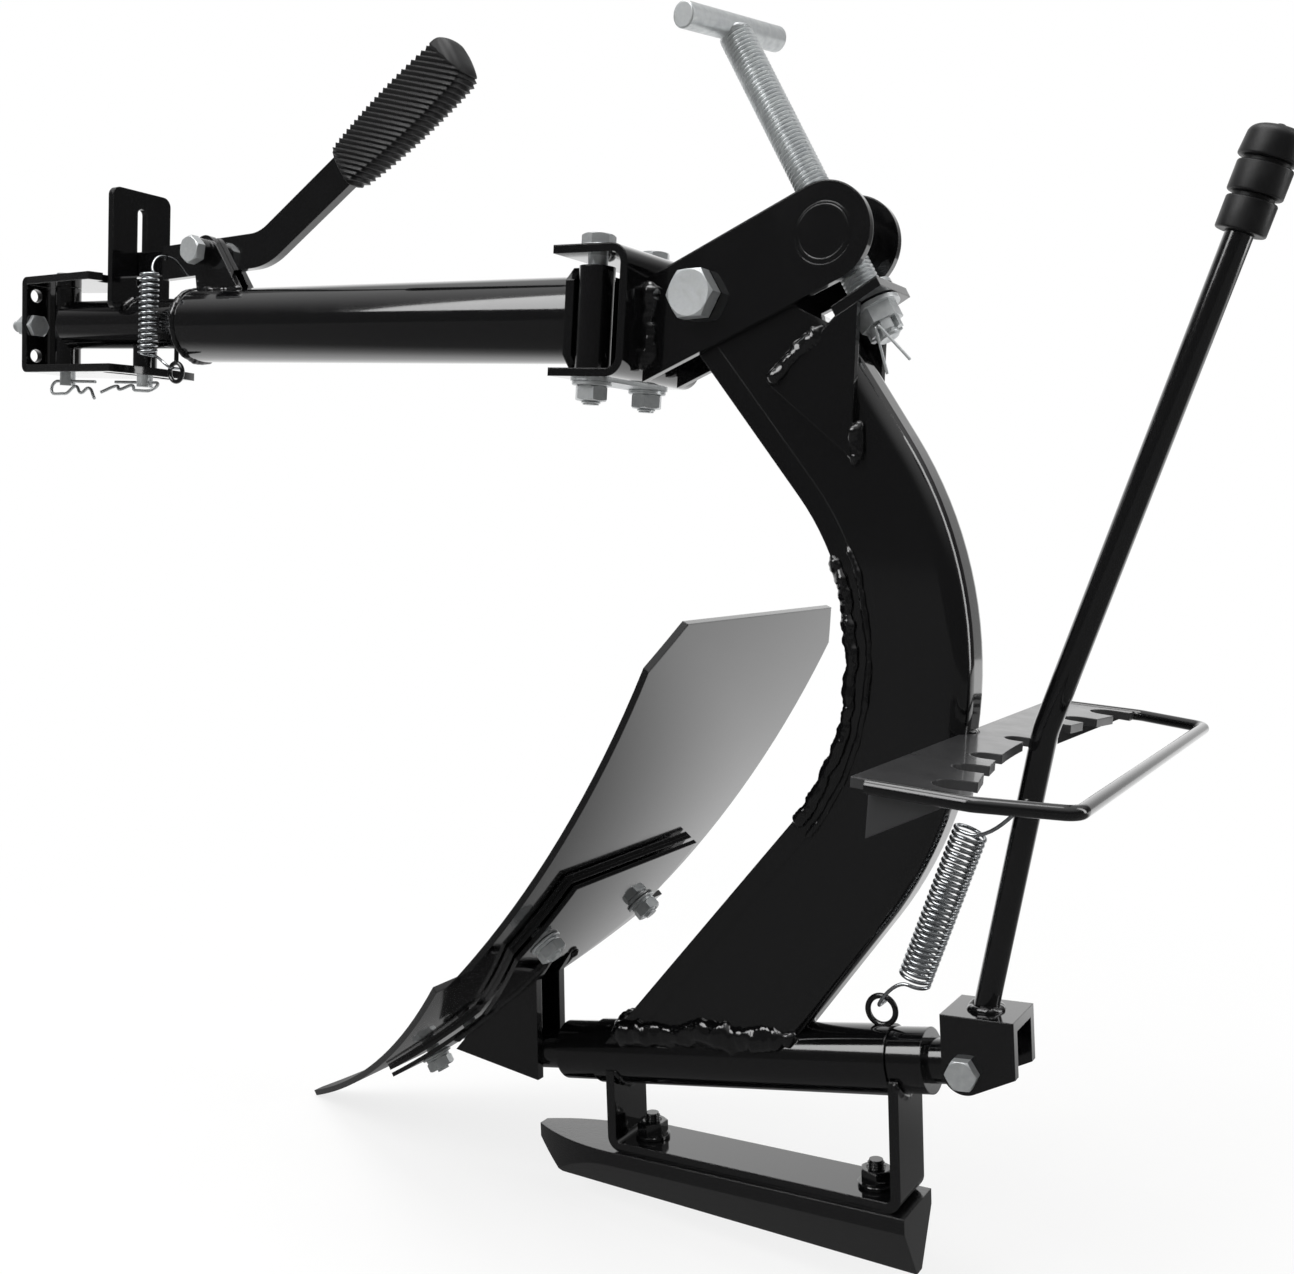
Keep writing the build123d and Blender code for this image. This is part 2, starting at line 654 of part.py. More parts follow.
lever_ear_in = LATCH_T / 2 + HINGE_GAP
lever_ear_out = lever_ear_in + LEVER_EAR_T
with BuildPart() as lever_bracket:
    for y in (-lever_ear_in, lever_ear_out):
        with BuildSketch(side_plane(y)):
            with BuildLine():
                CenterArc((LATCH_X, LATCH_Z), LEVER_EAR_R, 0, 360)
                Line(
                    (LATCH_X - LEVER_EAR_AHEAD, LEVER_EAR_FOOT),
                    (LATCH_X + LEVER_EAR_BACK, LEVER_EAR_FOOT),
                )
            make_hull()
            with Locations((LATCH_X, LATCH_Z)):
                Circle(LEVER_BOLT_R, mode=Mode.SUBTRACT)
        extrude(amount=LEVER_EAR_T)
    with BuildSketch(cross_plane(TUBE_FRONT - CAP_T)):
        Circle(TUBE_R)
    extrude(amount=TUBE_REAR - TUBE_FRONT, mode=Mode.SUBTRACT)
    with BuildSketch(side_plane(-lever_ear_out)):
        with Locations((LATCH_X, LATCH_Z)):
            Circle(SPACER_R)
            Circle(LEVER_BOLT_R, mode=Mode.SUBTRACT)
    extrude(amount=SPACER_LEN)

with BuildPart() as lever_pivot_bolt:
    with BuildSketch(side_plane(-lever_ear_out - SPACER_LEN)):
        with Locations((LATCH_X, LATCH_Z)):
            RegularPolygon(M12_AF / 2, 6, major_radius=False, rotation=20)
    extrude(amount=M12_HEAD)
    with BuildSketch(side_plane(-lever_ear_out - SPACER_LEN)):
        with Locations((LATCH_X, LATCH_Z)):
            Circle(LEVER_BOLT_R)
    extrude(amount=-(2 * lever_ear_out + SPACER_LEN + 14))

# Latch spring and its eye under the neck
with BuildPart() as latch_spring_eye:
    with BuildSketch(Plane((LATCH_EYE[0] + LATCH_EYE_R, LATCH_EYE[1], LATCH_EYE[2]))):
        Circle(EYE_WIRE_R)
    revolve(axis=Axis(LATCH_EYE, (0, 1, 0)))
    with BuildSketch(Plane((LATCH_EYE[0], LATCH_EYE[1], LATCH_EYE[2] + LATCH_EYE_R))):
        Circle(EYE_WIRE_R)
    extrude(amount=NECK_R)
    with BuildSketch(cross_plane(SWING_X)):
        with Locations((0, NECK_RISE)):
            Circle(NECK_R)
    extrude(amount=NECK_REAR - SWING_X, mode=Mode.SUBTRACT)

eye_low = LATCH_EYE[2] + LATCH_EYE_R - EYE_WIRE_R - 2.5
latch_coil = (Vector(*LATCH_COIL_TOP), Vector(*LATCH_COIL_FOOT), LATCH_COIL_R, LATCH_CURLS)
latch_nodes = [
    (Vector(HOOK_HOLE[0], LATCH_T / 2 + 4, HOOK_HOLE[1]), Vector(0, -1, 0)),
    (Vector(HOOK_HOLE[0], -LATCH_T / 2 - 3, HOOK_HOLE[1]), Vector(0, -1, 0)),
    *coil_nodes(*latch_coil, Vector(0, 1, 0)),
    (Vector(LATCH_EYE[0], LATCH_EYE[1] - 3, eye_low), Vector(0, 1, 0)),
    (Vector(LATCH_EYE[0], LATCH_EYE[1] + 4, eye_low), Vector(0, 1, 0)),
]
with BuildPart() as latch_spring:
    with BuildLine() as latch_wire:
        for start, heading, end in wire_runs(latch_nodes):
            if heading is None:
                Line(start, end)
            else:
                TangentArc(start, end, tangent=heading)
    with BuildSketch(Plane(latch_nodes[0][0], z_dir=latch_nodes[0][1])):
        Circle(WIRE_R)
    sweep()
latch_gap = least_gap(latch_wire.wire(), latch_wire.wire().length, 2 * pi * LATCH_COIL_R)
print(f"latch spring least gap {latch_gap:.2f} mm")

# Hinge bracket: cross plate and sleeves on the drawbar, bent bracket with two bolts
hinge_x = TUBE_REAR + CROSS_T + HINGE_R
hinge_foot = -BRACKET_HALF_H + BRACKET_T
with BuildPart() as drawbar_cross_plate:
    with BuildSketch(cross_plane(TUBE_REAR)) as cross_face:
        with Locations((0, (HINGE_TOP + hinge_foot) / 2)):
            Rectangle(2 * CROSS_HALF_W, HINGE_TOP - hinge_foot)
        chamfer(cross_face.vertices().group_by(Axis.Z)[-1], 8)
    extrude(amount=CROSS_T)

with BuildPart() as hinge_sleeves:
    with BuildSketch(level_plane(hinge_foot)):
        with Locations((hinge_x, -HINGE_Y), (hinge_x, HINGE_Y)):
            Circle(HINGE_R)
        with Locations((hinge_x, -HINGE_Y), (hinge_x, HINGE_Y)):
            Circle(PIN_R, mode=Mode.SUBTRACT)
    extrude(amount=HINGE_TOP - hinge_foot)

with BuildPart() as hinge_bracket:
    with BuildSketch(side_plane(0)) as bracket_form:
        Polygon(
            (BRACKET_FRONT, -BRACKET_HALF_H),
            (BRACKET_REAR, -BRACKET_HALF_H),
            (BRACKET_REAR, BRACKET_HALF_H),
            (BRACKET_FRONT, BRACKET_HALF_H),
            align=None,
        )
        fillet(bracket_form.vertices().group_by(Axis.X)[-1], BRACKET_BEND)
        offset(amount=-BRACKET_T, mode=Mode.SUBTRACT)
        with Locations((BRACKET_FRONT, 0)):
            Rectangle(4 * BRACKET_T, 2 * (BRACKET_HALF_H - BRACKET_T), mode=Mode.SUBTRACT)
    extrude(amount=BRACKET_HALF_W, both=True)
    with BuildSketch(level_plane(-BRACKET_HALF_H)):
        with Locations((hinge_x, -HINGE_Y), (hinge_x, HINGE_Y)):
            Circle(PIN_R)
    extrude(amount=2 * BRACKET_HALF_H, mode=Mode.SUBTRACT)

hinge_spots = ((hinge_x, -HINGE_Y), (hinge_x, HINGE_Y))
with BuildPart() as hinge_bolts:
    with BuildSketch(level_plane(BRACKET_HALF_H)):
        with Locations(*hinge_spots):
            RegularPolygon(M12_AF / 2, 6, major_radius=False)
    extrude(amount=M12_HEAD)
    with BuildSketch(level_plane(BRACKET_HALF_H)):
        with Locations(*hinge_spots):
            Circle(PIN_R)
    extrude(amount=-(2 * BRACKET_HALF_H + HINGE_BOLT_TAIL))

with BuildPart() as hinge_lock_plate:
    with BuildSketch(level_plane(-BRACKET_HALF_H)):
        with Locations((hinge_x, 0)):
            SlotCenterToCenter(2 * HINGE_Y, 2 * LOCK_HALF_W, rotation=90)
        with Locations(*hinge_spots):
            Circle(PIN_R, mode=Mode.SUBTRACT)
    extrude(amount=-LOCK_T)

with BuildPart() as drawbar_nuts:
    with BuildSketch(side_plane(lever_ear_out)):
        with Locations((LATCH_X, LATCH_Z)):
            RegularPolygon(M12_AF / 2, 6, major_radius=False)
            Circle(LEVER_BOLT_R, mode=Mode.SUBTRACT)
    extrude(amount=-10)
    with BuildSketch(level_plane(-BRACKET_HALF_H - LOCK_T)):
        with Locations(*hinge_spots):
            Circle(HINGE_WASHER_R)
        with Locations(*hinge_spots):
            Circle(PIN_R, mode=Mode.SUBTRACT)
    extrude(amount=-WASHER_T)
    with BuildSketch(level_plane(-BRACKET_HALF_H - LOCK_T - WASHER_T)):
        with Locations(*hinge_spots):
            RegularPolygon(M12_AF / 2, 6, major_radius=False)
        with Locations(*hinge_spots):
            Circle(PIN_R, mode=Mode.SUBTRACT)
    extrude(amount=-HINGE_NUT_H)

# Ear plates with the pitch bolt's hole and the trunnion's hole
ear_out = EAR_IN + EAR_T
with BuildPart() as hinge_ears:
    for ear_y in (-EAR_IN, ear_out):
        with BuildSketch(side_plane(ear_y)):
            with BuildLine():
                CenterArc((TRUNNION_X, TRUNNION_Z), EAR_END_R, 0, 360)
                Line((BRACKET_REAR, EAR_FOOT_Z), (BRACKET_REAR, EAR_HEAD_Z))
            make_hull()
            with Locations((TRUNNION_X, TRUNNION_Z)):
                Circle(TRUNNION_R + RUN, mode=Mode.SUBTRACT)
            with Locations((PIVOT_X, PIVOT_Z)):
                Circle(PITCH_BOLT_R, mode=Mode.SUBTRACT)
        extrude(amount=EAR_T)
    add(hinge_bracket.part, mode=Mode.SUBTRACT)

with BuildPart() as pitch_bolt:
    with BuildSketch(side_plane(-ear_out)):
        with Locations((PIVOT_X, PIVOT_Z)):
            RegularPolygon(PITCH_AF / 2, 6, major_radius=False, rotation=30)
    extrude(amount=PITCH_HEAD)
    with BuildSketch(side_plane(-ear_out)):
        with Locations((PIVOT_X, PIVOT_Z)):
            Circle(PITCH_BOLT_R)
    extrude(amount=-(2 * ear_out + 22))

with BuildPart() as pitch_nut:
    with BuildSketch(side_plane(ear_out)):
        with Locations((PIVOT_X, PIVOT_Z)):
            Circle(17)
            Circle(PITCH_BOLT_R, mode=Mode.SUBTRACT)
    extrude(amount=-WASHER_T)
    with BuildSketch(side_plane(ear_out + WASHER_T)):
        with Locations((PIVOT_X, PIVOT_Z)):
            RegularPolygon(PITCH_AF / 2, 6, major_radius=False)
            Circle(PITCH_BOLT_R, mode=Mode.SUBTRACT)
    extrude(amount=-15)

# Trunnion nut and depth screw
with BuildPart() as trunnion_nut:
    with BuildSketch(side_plane(0)):
        with Locations((TRUNNION_X, TRUNNION_Z)):
            Circle(TRUNNION_R)
    extrude(amount=ear_out, both=True)
    with BuildSketch(screw_plane(-2 * TRUNNION_R)):
        Circle(SCREW_R + SCREW_CLEAR)
    extrude(amount=4 * TRUNNION_R, mode=Mode.SUBTRACT)

seat_top = SEAT_DROP - SEAT_PLATE_T / 2
seat_foot = SEAT_DROP + SEAT_PLATE_T / 2
shoulder = seat_top - SEAT_GAP - SEAT_WASHER_T
screw_top = TEE_R - TEE_BITE - SCREW_RISE
castle_top = seat_foot + SEAT_GAP + SEAT_WASHER_T
split_s = castle_top + CASTLE_H - 4
with BuildPart() as depth_screw:
    with BuildSketch(screw_plane(screw_top)):
        Circle(SCREW_R)
    extrude(amount=shoulder - screw_top)
    with BuildSketch(screw_plane(shoulder)):
        Circle(SPIGOT_R)
    extrude(amount=castle_top + CASTLE_H + 3 - shoulder)
    with BuildSketch(Plane((screw_plane(split_s).origin), z_dir=(0, 1, 0))):
        Circle(1.8)
    extrude(amount=SCREW_R, both=True, mode=Mode.SUBTRACT)

tee_plane = screw_plane(-SCREW_RISE)
tee_along = tee_plane.x_dir * cos(TEE_TURN) + tee_plane.y_dir * sin(TEE_TURN)
with BuildPart() as screw_tee:
    with BuildSketch(Plane(tee_plane.origin - tee_along * TEE_HALF, z_dir=tee_along)):
        Circle(TEE_R)
    extrude(amount=2 * TEE_HALF)
    fillet(screw_tee.edges().filter_by(GeomType.CIRCLE), 1.0)
    add(depth_screw.part, mode=Mode.SUBTRACT)

with BuildPart() as screw_washers:
    for washer_s in (seat_top - SEAT_GAP - SEAT_WASHER_T, seat_foot + SEAT_GAP):
        with BuildSketch(screw_plane(washer_s)):
            Circle(SEAT_WASHER_R)
            Circle(SPIGOT_R + RUN, mode=Mode.SUBTRACT)
        extrude(amount=SEAT_WASHER_T)

with BuildPart() as castle_nut:
    with BuildSketch(screw_plane(castle_top)):
        RegularPolygon(CASTLE_AF / 2, 6, major_radius=False)
        Circle(SPIGOT_R, mode=Mode.SUBTRACT)
    extrude(amount=CASTLE_H - 6)
    with BuildSketch(screw_plane(castle_top + CASTLE_H - 6)):
        Circle(CASTLE_AF / 2 - 1)
        Circle(SPIGOT_R, mode=Mode.SUBTRACT)
    extrude(amount=6)
    with BuildSketch(screw_plane(castle_top + CASTLE_H - 6)):
        with PolarLocations(CASTLE_AF / 2, 6, start_angle=0):
            Rectangle(12, 4.2)
    extrude(amount=6, mode=Mode.SUBTRACT)

# Split pin: one folded wire, with its eye on the far side and two splayed legs on the near side
split_out = CASTLE_AF / 2 + SPLIT_WIRE_R - 0.6
split_side = SPLIT_WIRE_R + 0.1
split_eye = 4 * SPLIT_WIRE_R
split_fold = [
    (SPLIT_WIRE_R - split_out + 1.4, split_side + SPLIT_SPLAY, SPLIT_LEG),
    (-split_out, split_side, 0),
    (split_out - 1, split_side, 0),
    (split_out + 0.8, split_eye, 0),
    (split_out + 3, split_eye, 0),
]
split_back = [(along, -side, down) for along, side, down in reversed(split_fold)]
split_plane = screw_plane(split_s)
with BuildPart() as split_pin:
    with BuildLine(split_plane):
        FilletPolyline(*split_fold, *split_back, radius=SPLIT_BEND)
    leg_tip = split_plane.from_local_coords(Vector(*split_fold[0]))
    leg_knee = split_plane.from_local_coords(Vector(*split_fold[1]))
    with BuildSketch(Plane(leg_tip, z_dir=leg_knee - leg_tip)):
        Circle(SPLIT_WIRE_R)
    sweep()

# Beam: curved box of two welded shells, saddled on the axle tube
beam_forms = []
for inset in (0.0, BEAM_WALL):
    with BuildPart() as beam_form:
        with BuildSketch(side_plane(0)):
            with BuildLine():
                FilletPolyline(head_start, front_knee, front_tail, radius=BEAM_FRONT_R)
                Line(front_tail, rear_tail)
                rear_line = FilletPolyline(rear_tail, rear_knee, rear_top, radius=BEAM_REAR_R)
                Line(rear_top, head_top)
                Line(head_top, head_start)
            make_face()
            with Locations((PIVOT_X, PIVOT_Z)):
                Circle(BEAM_HEAD_R)
            if inset:
                offset(amount=-inset, mode=Mode.REPLACE)
        extrude(amount=BEAM_HALF_W - inset, both=True)
        rear_edges = ShapeList()
        for edge in beam_form.edges():
            middle = edge.position_at(0.5)
            away = rear_line.distance_to((middle.X, middle.Z, 0))
            if abs(away - inset) < 0.01 and abs(middle.Y) > BEAM_HALF_W - inset - 0.01:
                rear_edges.append(edge)
        fillet(rear_edges, BEAM_ROUND - inset)
    beam_forms.append(beam_form)

beam_shells = {}
for shell_name, seam_mode in (("beam_front_shell", Mode.INTERSECT), ("beam_rear_shell", Mode.SUBTRACT)):
    with BuildPart() as shell:
        add(beam_forms[0].part)
        add(beam_forms[1].part, mode=Mode.SUBTRACT)
        with BuildSketch(side_plane(0)):
            with Locations((PIVOT_X, PIVOT_Z)):
                Circle(PITCH_BUSH_R)
        extrude(amount=BEAM_HALF_W, both=True, mode=Mode.SUBTRACT)
        with BuildSketch(axle_plane(AXLE_FRONT)):
            Circle(AXLE_R)
        extrude(amount=AXLE_REAR - AXLE_FRONT, mode=Mode.SUBTRACT)
        with BuildSketch(side_plane(0)):
            with BuildLine():
                FilletPolyline(head_start, front_knee, front_tail, radius=BEAM_FRONT_R)
            trace(line_width=2 * SEAM_DEPTH)
        extrude(amount=BEAM_HALF_W, both=True, mode=seam_mode)
    beam_shells[shell_name] = shell

# Screw seat on the beam: two gussets and a drilled cross plate
seat_half_w = BEAM_HALF_W + GUSSET_T
with BuildPart() as screw_gussets:
    for gusset_y in (-BEAM_HALF_W, seat_half_w):
        with BuildSketch(side_plane(gusset_y)):
            Polygon(
                pivot + Vector(*GUSSET_FRONT),
                screw_point(seat_foot, -SEAT_PLATE_HALF),
                screw_point(seat_foot, 0),
                pivot + Vector(*GUSSET_FOOT),
                align=None,
            )
        extrude(amount=GUSSET_T)

with BuildPart() as screw_cross_plate:
    with BuildSketch(screw_plane(seat_top)):
        Rectangle(2 * seat_half_w, 2 * SEAT_PLATE_HALF)
        Circle(SPIGOT_R + LOOSE, mode=Mode.SUBTRACT)
    extrude(amount=SEAT_PLATE_T)

# Index plate: its rear edge follows the lever's rod, with a notch at each stop
outer_stop = plate_turn(PLATE_HALF_W - STOP_MARGIN)
stop_turns = [0.0]
for step in range(STOPS_A_SIDE):
    stop_turns += [outer_stop - step * STOP_STEP, step * STOP_STEP - outer_stop]
edge_limit = plate_turn(PLATE_HALF_W - EDGE_LAND)
edge_turns = [edge_limit * step / 8 for step in range(-8, 9)]
edge_points = []
for turn in edge_turns:
    rod_x, rod_y = rod_on_plate(turn, 0.0)
    edge_points.append((rod_x - rod_half_depth(turn) - TIP_GAP, rod_y))
with BuildPart() as index_plate:
    with BuildSketch(level_plane(plate_z - PLATE_T / 2)):
        with BuildLine():
            Spline(*edge_points)
            Polyline(
                edge_points[-1],
                (edge_points[-1][0], PLATE_HALF_W),
                (plate_front, PLATE_HALF_W),
                (plate_front, -PLATE_HALF_W),
                (edge_points[0][0], -PLATE_HALF_W),
                edge_points[0],
            )
        make_face()
    extrude(amount=PLATE_T)
    for turn in stop_turns:
        seat_x, seat_y = rod_on_plate(turn, LEVER_ENGAGE)
        open_x, open_y = rod_on_plate(turn, -LEVER_ENGAGE)
        notch_half = rod_half_width(turn) + NOTCH_SIDE_GAP
        with BuildSketch(level_plane(plate_z - PLATE_T / 2)):
            with BuildLine():
                Line((seat_x, seat_y), (open_x, open_y))
            trace(line_width=2 * notch_half)
            with Locations((seat_x, seat_y)):
                Circle(notch_half)
        extrude(amount=PLATE_T, mode=Mode.SUBTRACT)
    add(beam_forms[0].part, mode=Mode.SUBTRACT)

tab_front = plate_front + TAB_SET
tab_rear = tab_front + TAB_LEN
with BuildPart() as index_tabs:
    for tab_y in (-PLATE_HALF_W + TAB_T, PLATE_HALF_W):
        with BuildSketch(side_plane(tab_y)):
            Polygon(
                (tab_front, plate_z - PLATE_T / 2),
                (tab_rear, plate_z - PLATE_T / 2),
                (tab_front, plate_z - PLATE_T / 2 - TAB_DROP),
                align=None,
            )
        extrude(amount=TAB_T)

guard_y = PLATE_HALF_W + GUARD_R
guard_bend = edge_points[0][0] + GUARD_R
with BuildPart() as lever_guard:
    with BuildLine():
        FilletPolyline(
            (tab_front, -guard_y, plate_z),
            (guard_bend, -guard_y, plate_z),
            (guard_x, -GUARD_HALF_W, plate_z),
            (guard_x, GUARD_HALF_W, plate_z),
            (guard_bend, guard_y, plate_z),
            (tab_front, guard_y, plate_z),
            radius=10,
        )
    with BuildSketch(Plane((tab_front, -guard_y, plate_z), z_dir=(1, 0, 0))):
        Circle(GUARD_R)
    sweep()

# Axle tube with bushes, and the turning shaft with two collars
axle_len = AXLE_REAR - AXLE_FRONT
with BuildPart() as axle_tube:
    with BuildSketch(axle_plane(AXLE_FRONT)):
        Circle(AXLE_R)
        Circle(AXLE_BORE, mode=Mode.SUBTRACT)
    extrude(amount=axle_len)

with BuildPart() as beam_bushes:
    with BuildSketch(side_plane(0)):
        with Locations((PIVOT_X, PIVOT_Z)):
            Circle(PITCH_BUSH_R)
            Circle(PITCH_BOLT_R + RUN, mode=Mode.SUBTRACT)
    extrude(amount=EAR_IN - HINGE_GAP, both=True)
    for bush_s in (AXLE_FRONT, AXLE_REAR - BUSH_L):
        with BuildSketch(axle_plane(bush_s)):
            Circle(AXLE_BORE)
            Circle(SHAFT_R + RUN, mode=Mode.SUBTRACT)
        extrude(amount=BUSH_L)

socket_run = Vector(cos(SOCKET_SLOPE), 0, sin(SOCKET_SLOPE))
lever_origin = Vector(lever_pivot.X, 0, lever_pivot.Y)
lever_side = Plane(lever_origin, x_dir=socket_run, z_dir=(0, -1, 0))
with BuildPart() as axle_shaft:
    with BuildSketch(axle_plane(SHAFT_FRONT)):
        Circle(SHAFT_R)
    extrude(amount=SHAFT_REAR - SHAFT_FRONT)
    with BuildSketch(lever_side):
        Circle(CROSS_BOLT_R + RUN)
    extrude(amount=SHAFT_R, both=True, mode=Mode.SUBTRACT)

with BuildPart() as shaft_collars:
    for collar_s, collar_len in (
        (AXLE_FRONT - HINGE_GAP - COLLAR_FRONT_L, COLLAR_FRONT_L),
        (AXLE_REAR + HINGE_GAP, COLLAR_REAR_L),
    ):
        with BuildSketch(axle_plane(collar_s)):
            Circle(COLLAR_R)
            Circle(SHAFT_R, mode=Mode.SUBTRACT)
        extrude(amount=collar_len)

# Plough body: bolts, mouldboard, share and frog on one round face
bolt_spots = [(face_angle(BOARD_BOLT_RISE), y) for y in (-BOARD_BOLT_Y, BOARD_BOLT_Y)]
bolt_spots += [(face_angle(-drop), 0.0) for drop in SHARE_BOLT_DROPS]
stack = BOARD_T + FROG_T
with BuildPart() as plough_bolts:
    for angle, bolt_y in bolt_spots:
        with BuildSketch(face_plane(angle)):
            with Locations((bolt_y, 0)):
                Circle(BODY_BOLT_R)
        extrude(amount=stack + BODY_NUT_H + 4)
        with Locations(face_plane(angle).offset(BOARD_T / 2)):
            with Locations((bolt_y, 0)):
                Cone(bottom_radius=BODY_BOLT_HEAD_R, top_radius=BODY_BOLT_R, height=BOARD_T)

with BuildPart() as plough_nuts:
    for angle, bolt_y in bolt_spots:
        with BuildSketch(face_plane(angle).offset(stack)):
            with Locations((bolt_y, 0)):
                RegularPolygon(BODY_NUT_AF / 2, 6, major_radius=False)
                Circle(BODY_BOLT_R, mode=Mode.SUBTRACT)
        extrude(amount=BODY_NUT_H)

round_plates = {}
for plate_name, low_run, high_run, depth, plate_t in (
    ("mouldboard", 0.0, BOARD_RISE, 0.0, BOARD_T),
    ("share", -SHARE_RUN, -SHARE_SEAM, 0.0, BOARD_T),
    ("frog_plate", -FROG_DROP, FROG_RISE, BOARD_T, FROG_T),
):
    foot, top = face_angle(low_run), face_angle(high_run)
    middle_angle = (foot + top) / 2
    rise = FACE_R * sin(top - middle_angle)
    with BuildPart() as plate:
        with BuildSketch(side_plane(0)):
            with BuildLine():
                for plate_r in (FACE_R + depth, FACE_R + depth + plate_t):
                    CenterArc(face_mid, plate_r, degrees(foot), degrees(top - foot))
                Line(face_point(foot, depth), face_point(foot, depth + plate_t))
                Line(face_point(top, depth), face_point(top, depth + plate_t))
            make_face()
        extrude(amount=SHARE_HALF_W, both=True)
        outlines = {
            "mouldboard": (
                (BOARD_HALF_FOOT, -2 * rise),
                (BOARD_HALF_FOOT, -rise),
                (BOARD_HALF_W, rise - BOARD_CHAMFER),
                (BOARD_HALF_TOP, rise),
                (BOARD_HALF_TOP, 2 * rise),
            ),
            "share": ((SHARE_NOSE, -rise), (SHARE_HALF_W, rise), (SHARE_HALF_W, 2 * rise)),
            "frog_plate": (
                (FROG_HALF_FOOT, -2 * rise),
                (FROG_HALF_FOOT, -rise / 4),
                (FROG_HALF_TOP, rise / 2),
                (FROG_HALF_TOP, 2 * rise),
            ),
        }
        outline = outlines[plate_name]
        mirrored = [(-half, up) for half, up in reversed(outline)]
        with BuildSketch(face_plane(middle_angle).offset(-SHARE_HALF_W)):
            Polygon(*outline, *mirrored, align=None)
        extrude(amount=2 * SHARE_HALF_W, mode=Mode.INTERSECT)
        add(plough_bolts.part, mode=Mode.SUBTRACT)
    round_plates[plate_name] = plate

with BuildPart() as frog_gussets:
    for gusset_y in (-FROG_GUSSET_Y, FROG_GUSSET_Y + FROG_GUSSET_T):
        with BuildSketch(side_plane(gusset_y)):
            gusset_top = face_point(face_angle(FROG_RISE))
            gusset_corners = (FROG_GUSSET_FOOT, FROG_GUSSET_REAR, FROG_GUSSET_HEAD)
            Polygon(*[axle_mid + Vector(*corner) for corner in gusset_corners], gusset_top, align=None)
            with Locations(face_mid):
                Circle(FACE_R + stack, mode=Mode.SUBTRACT)
        extrude(amount=FROG_GUSSET_T)
    with BuildSketch(axle_plane(SHAFT_FRONT)):
        Circle(SHAFT_R)
    extrude(amount=SHAFT_REAR - SHAFT_FRONT, mode=Mode.SUBTRACT)

# Rear lever: bent rod with a knob in a forked socket, cross bolt and nut
lower_run = Vector(sin(LEVER_TILT), 0, cos(LEVER_TILT))
upper_run = Vector(sin(LEVER_TILT + LEVER_BEND), 0, cos(LEVER_TILT + LEVER_BEND))
rod_foot = lever_origin + lower_run * (SOCKET_TOP - SOCKET_T + 2)
rod_bend = lever_origin + lower_run * LEVER_BEND_S
knob_foot = rod_bend + upper_run * LEVER_RISE
rod_hook = lever_origin + lower_run * (HOOK_RISE / lower_run.Z)
with BuildPart() as lever_rod:
    with BuildLine():
        FilletPolyline(rod_foot, rod_bend, knob_foot + upper_run * (0.7 * KNOB_LEN), radius=LEVER_BEND_R)
    with BuildSketch(Plane(rod_foot, z_dir=lower_run)):
        Circle(LEVER_R)
    sweep()
    with BuildSketch(Plane(rod_hook, z_dir=(0, 1, 0))):
        Circle(HOOK_HOLE_R)
    extrude(amount=2 * LEVER_R, both=True, mode=Mode.SUBTRACT)

knob_bore = 0.7 * KNOB_LEN
knob_steps = ((0.0, 0.30, 0.80), (0.34, 0.62, 0.88), (0.66, 0.87, 1.0))
knob_outline = [(knob_bore, 0.0), (knob_bore, LEVER_R), (0.0, LEVER_R)]
for low, high, ratio in knob_steps:
    knob_outline += [(low * KNOB_LEN, 0.62 * KNOB_R), (low * KNOB_LEN, ratio * KNOB_R)]
    knob_outline += [(high * KNOB_LEN, ratio * KNOB_R), (high * KNOB_LEN, 0.62 * KNOB_R)]
knob_outline = knob_outline[:-1]
knob_rim = knob_outline[-1]
with BuildPart() as lever_knob:
    with BuildSketch(Plane(knob_foot, x_dir=upper_run, z_dir=(0, -1, 0))):
        with BuildLine():
            Polyline(*knob_outline)
            ThreePointArc(knob_rim, (0.96 * KNOB_LEN, 0.6 * KNOB_R), (KNOB_LEN, 0.15 * KNOB_R))
            Polyline((KNOB_LEN, 0.15 * KNOB_R), (KNOB_LEN, 0), (knob_bore, 0))
        make_face()
    revolve(axis=Axis(knob_foot, upper_run))

with BuildPart() as lever_socket:
    with BuildSketch(lever_side):
        with BuildLine():
            CenterArc((0, 0), SOCKET_EAR_R, 0, 360)
            Line((SOCKET_FRONT, SOCKET_TOP), (SOCKET_REAR, SOCKET_TOP))
            Line((SOCKET_REAR, SOCKET_TOP), (SOCKET_REAR, 0))
        make_hull()
    extrude(amount=SOCKET_IN + SOCKET_T, both=True)
    with BuildSketch(lever_side):
        with Locations((0, SOCKET_TOP - SOCKET_T)):
            Rectangle(8 * SOCKET_TOP, 2 * SOCKET_TOP, align=(Align.CENTER, Align.MAX))
    extrude(amount=SOCKET_IN, both=True, mode=Mode.SUBTRACT)
    with BuildSketch(lever_side):
        Circle(CROSS_BOLT_R)
    extrude(amount=2 * SOCKET_IN, both=True, mode=Mode.SUBTRACT)
    add(lever_rod.part, mode=Mode.SUBTRACT)

socket_out = SOCKET_IN + SOCKET_T
with BuildPart() as lever_cross_bolt:
    with BuildSketch(lever_side.offset(socket_out)):
        RegularPolygon(8, 6, major_radius=False)
    extrude(amount=6.5)
    with BuildSketch(lever_side.offset(socket_out)):
        Circle(CROSS_BOLT_R)
    extrude(amount=-(2 * socket_out + 12))

with BuildPart() as lever_cross_nut:
    with BuildSketch(lever_side.offset(-socket_out)):
        RegularPolygon(8, 6, major_radius=False)
        Circle(CROSS_BOLT_R, mode=Mode.SUBTRACT)
    extrude(amount=-8.5)

